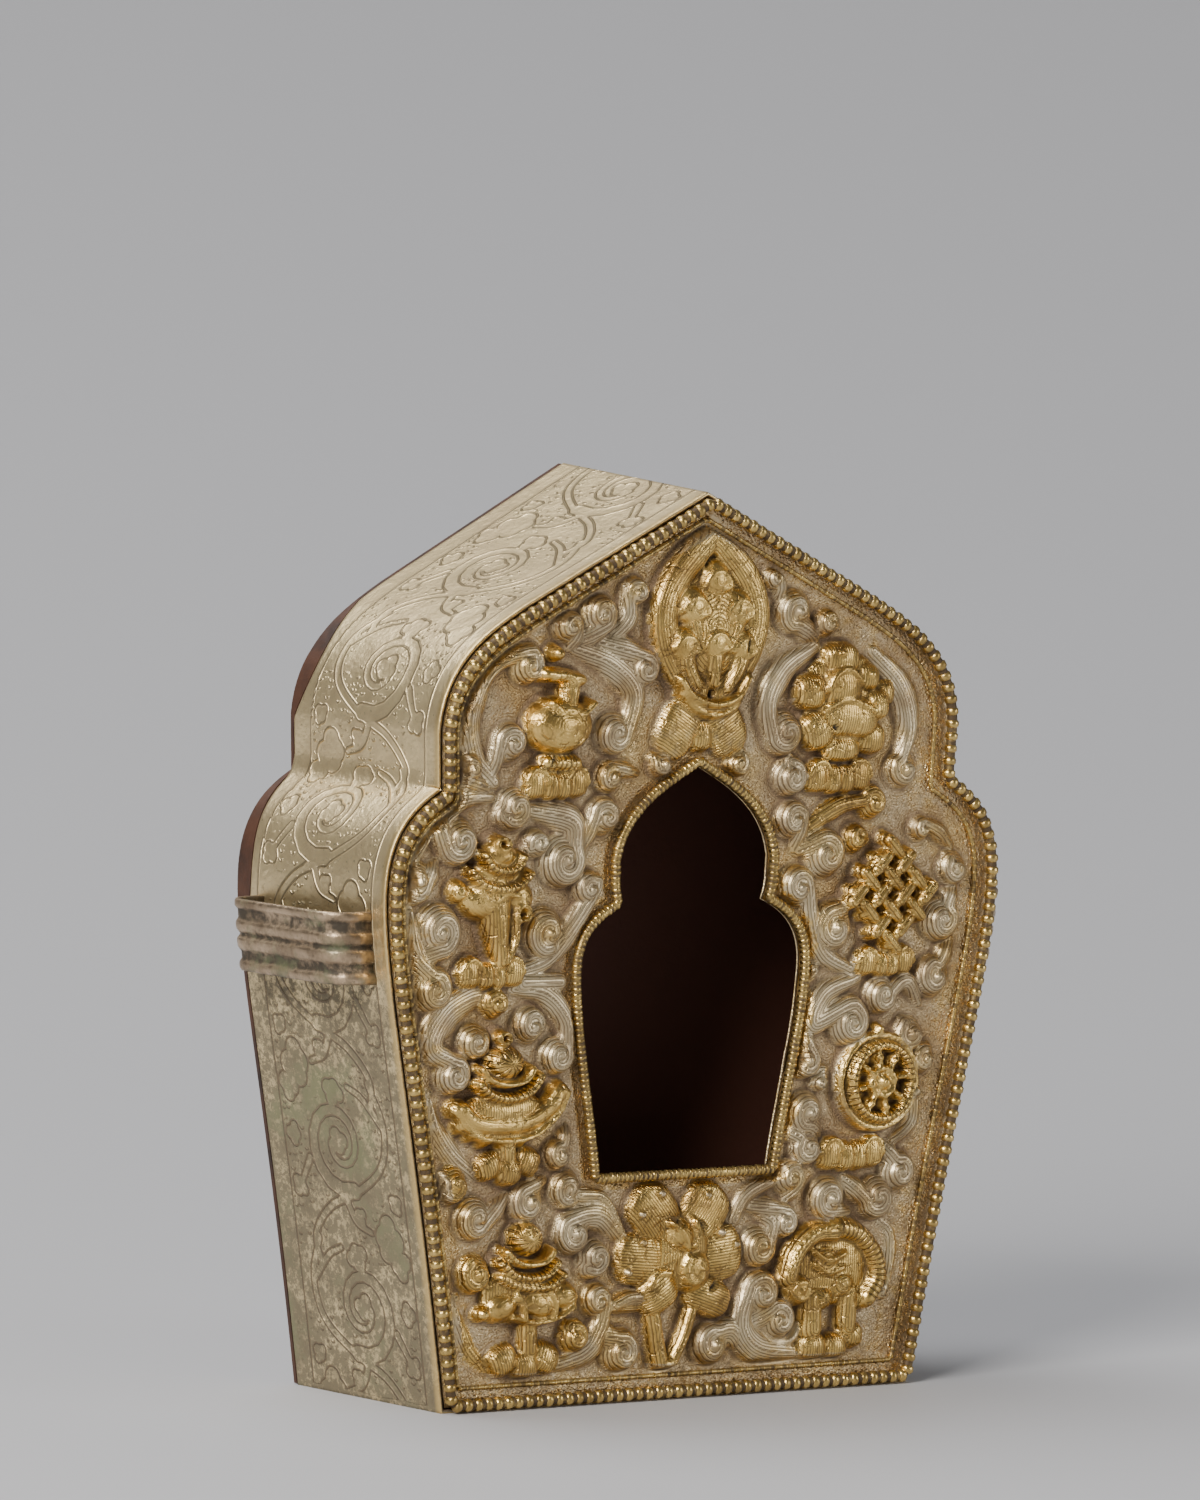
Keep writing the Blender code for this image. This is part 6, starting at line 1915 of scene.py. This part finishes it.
    def plain_material(self, finish: Finish) -> bpy.types.Material:
        """Worn metal without a pattern, with cloudy dirt, and dark with dirt and painted shade where the
        piece says it is hollow.

        Args:
            finish: its colours and wear.
        Returns:
            The material.
        """
        material, graph, shader = self.start(finish.name)
        cloud = graph.noise(700.0, 4.0, 0.65)
        hollow = graph.times(graph.less(cloud, 0.44), 1.5)
        hollow = graph.plus(hollow, graph.attribute("hollow"))
        metal = self.worn(graph, finish, hollow)
        green = graph.span(graph.noise(170.0, 4.0, 0.65), 0.52, 0.66, 0.0, finish.verdigris)
        tone = graph.mix(green, metal.outputs["Colour"], (0.09, 0.105, 0.045))
        dents = graph.times(graph.noise(260.0, 2.0), 0.25)
        height = graph.plus(dents, graph.times(graph.noise(1400.0, 3.0), 0.09))
        self.dress(graph, shader, tone, metal.outputs["Roughness"],
                   graph.less(metal.outputs["Metallic"], green, True), height)
        return material

    def copper_material(self) -> bpy.types.Material:
        """Copper gone brown and dull, nearly black in patches on the outside."""
        material, graph, shader = self.start("tray_copper")
        outside = graph.attribute("outside")
        cloud = graph.times(graph.span(graph.noise(110.0, 6.0, 0.7), 0.38, 0.72), outside)
        ageing = graph.mix(outside, (0.165, 0.072, 0.050), (0.085, 0.036, 0.020))
        self.dress(graph, shader, graph.mix(cloud, ageing, (0.026, 0.016, 0.013)), 0.5, 0.25,
                   graph.times(graph.noise(900.0, 3.0), 0.1))
        return material


class Studio:
    """Pale sweep, soft lights and the camera."""

    camera_turn = 38.5
    camera_rise = 4.418
    camera_roll = 1.967
    camera_distance = 1700.0
    aim = (-18.885, 0.0, 91.616)
    lens = 290.66
    floor_near = -2.5
    curve_start = 0.12
    curve_radius = 1.8
    wall_height = 3.6
    half_width = 4.0

    def __init__(self) -> None:
        """Sets the floor, the lights, the camera and a soft even light all round."""
        self.sweep()
        self.lights()
        self.camera()
        world = bpy.data.worlds.new("soft_room")
        world.use_nodes = True
        background = world.node_tree.nodes["Background"]
        background.inputs["Color"].default_value = (0.75, 0.77, 0.80, 1.0)
        background.inputs["Strength"].default_value = 0.195
        bpy.context.scene.world = world

    @staticmethod
    def sweep() -> None:
        """Floor that curves up into a back wall."""
        start, radius = Studio.curve_start, Studio.curve_radius
        profile = [(Studio.floor_near, 0.0), (start, 0.0)]
        for angle in np.linspace(0.04, 0.5 * math.pi, 24):
            profile.append((start + radius * math.sin(angle), radius - radius * math.cos(angle)))
        profile.append((start + radius, Studio.wall_height))
        turn = math.radians(Studio.camera_turn)
        vertices = []
        for side in (-Studio.half_width, Studio.half_width):
            for far, up in profile:
                vertices.append((side * math.cos(turn) + far * math.sin(turn),
                                 -side * math.sin(turn) + far * math.cos(turn), up))
        count = len(profile)
        faces = [(k, count + k, count + k + 1, k + 1) for k in range(count - 1)]
        material = bpy.data.materials.new("pale_floor")
        material.use_nodes = True
        shader = material.node_tree.nodes["Principled BSDF"]
        shader.inputs["Base Color"].default_value = (0.50, 0.50, 0.52, 1.0)
        shader.inputs["Roughness"].default_value = 0.6
        floor = new_piece("floor", np.array(vertices), faces, material)

    @staticmethod
    def lights() -> None:
        """A large soft light above on the left, a fill on the right and one from behind."""
        aim = Vector((0.0, 0.0, 0.06))
        for name, where, size, power, colour in (
                ("key", (-1.15, -0.55, 0.85), 0.55, 26.5, (1.0, 0.97, 0.92)),
                ("fill", (0.9, -1.0, 0.35), 0.6, 4.2, (0.97, 0.98, 1.0)),
                ("top", (-0.25, 0.35, 1.1), 0.8, 10.0, (1.0, 1.0, 1.0))):
            data = bpy.data.lights.new(name, "AREA")
            data.size = size
            data.energy = power
            data.color = colour
            light = bpy.data.objects.new(name, data)
            light.location = where
            light.rotation_euler = (aim - Vector(where)).to_track_quat("-Z", "Y").to_euler()
            bpy.context.scene.collection.objects.link(light)

    def camera(self) -> None:
        """The camera, at the photograph's angle."""
        turn, rise, roll = (math.radians(a) for a in (self.camera_turn, self.camera_rise, self.camera_roll))
        ahead = Vector((math.sin(turn) * math.cos(rise), math.cos(turn) * math.cos(rise), -math.sin(rise)))
        right = Vector((math.cos(turn), -math.sin(turn), 0.0))
        up = right.cross(ahead)
        leaning_right = right * math.cos(roll) + up * math.sin(roll)
        leaning_up = up * math.cos(roll) - right * math.sin(roll)
        target = Vector((self.aim[0], self.aim[1] + SIZES.front_plane, self.aim[2] + SIZES.foot_lift)) * MM
        data = bpy.data.cameras.new("camera")
        data.lens = self.lens
        data.clip_start = 0.05
        camera = bpy.data.objects.new("camera", data)
        camera.matrix_world = Matrix.Translation(target - ahead * self.camera_distance * MM) @ Matrix(
            (leaning_right, leaning_up, -ahead)).transposed().to_4x4()
        bpy.context.scene.collection.objects.link(camera)
        bpy.context.scene.camera = camera


@dataclass
class ShrineBox:
    """All the pieces of the box."""
    finishes: Finishes = field(default_factory=Finishes)

    def build(self) -> None:
        """Makes each piece, ties it to the model's body, and hides the model's node that it stands in for."""
        relief = Relief(Carving())
        log.info("relief ready")
        sheet = FrontSheet(relief, self.finishes.face).piece
        tray = BackTray(self.finishes.copper).piece
        band = SideBand(self.finishes.band).piece
        face = np.array(face_outline(3))
        half = (len(face) - 1) // 2
        notch = 3 * 10
        corners = (0, notch, half, half + 1, len(face) - notch)
        edge = BeadedWire("edge_beading", face, 0.0, SIZES.bead_pitch,
                          BeadShape(1.04, 0.78, 0.74, 0.6), self.finishes.wire, corners).piece
        tiny = BeadedWire("fine_beading", offset_loop(face_outline(3), -2.2), 1.3, 1.05,
                          BeadShape(0.45, 0.5, 0.34, 0.35, 2.0, 5, 8, 0.2), self.finishes.wire, corners).piece
        opening = np.array(window_outline(3))
        middle = (len(opening) - 1) // 2
        wire = BeadedWire("window_wire", opening, SIZES.wire_depth, 0.82,
                          BeadShape(0.86, 0.47, 0.70, 0.4, 2.1, 6, 10, 0.12), self.finishes.wire,
                          (0, 21, middle, middle + 1, len(opening) - 21)).piece
        left = StrapLoop("left_lug", -1, self.finishes.strap).piece
        right = StrapLoop("right_lug", 1, self.finishes.strap).piece
        for piece, node, slot in ((sheet, "front_panel", "parcel_gilt_silver"),
                                  (band, "side_band", "worn_silver"),
                                  (edge, "border_beading", "gilding"), (tiny, None, "gilding"),
                                  (wire, "window_beading", "gilding"),
                                  (tray, "back_tray", "dark_copper"),
                                  (left, "left_strap_loop", "dull_strap_metal"),
                                  (right, "right_strap_loop", "dull_strap_metal")):
            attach(piece, "root")
            if node:
                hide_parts(node)
            log.info("%s: %d faces", piece.name, len(piece.data.polygons))


def main() -> None:
    """Loads the frame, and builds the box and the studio."""
    logging.basicConfig(level=logging.INFO, format="%(message)s")
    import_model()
    ShrineBox().build()
    Studio()
    bpy.context.view_layer.update()


if __name__ == "__main__":
    main()
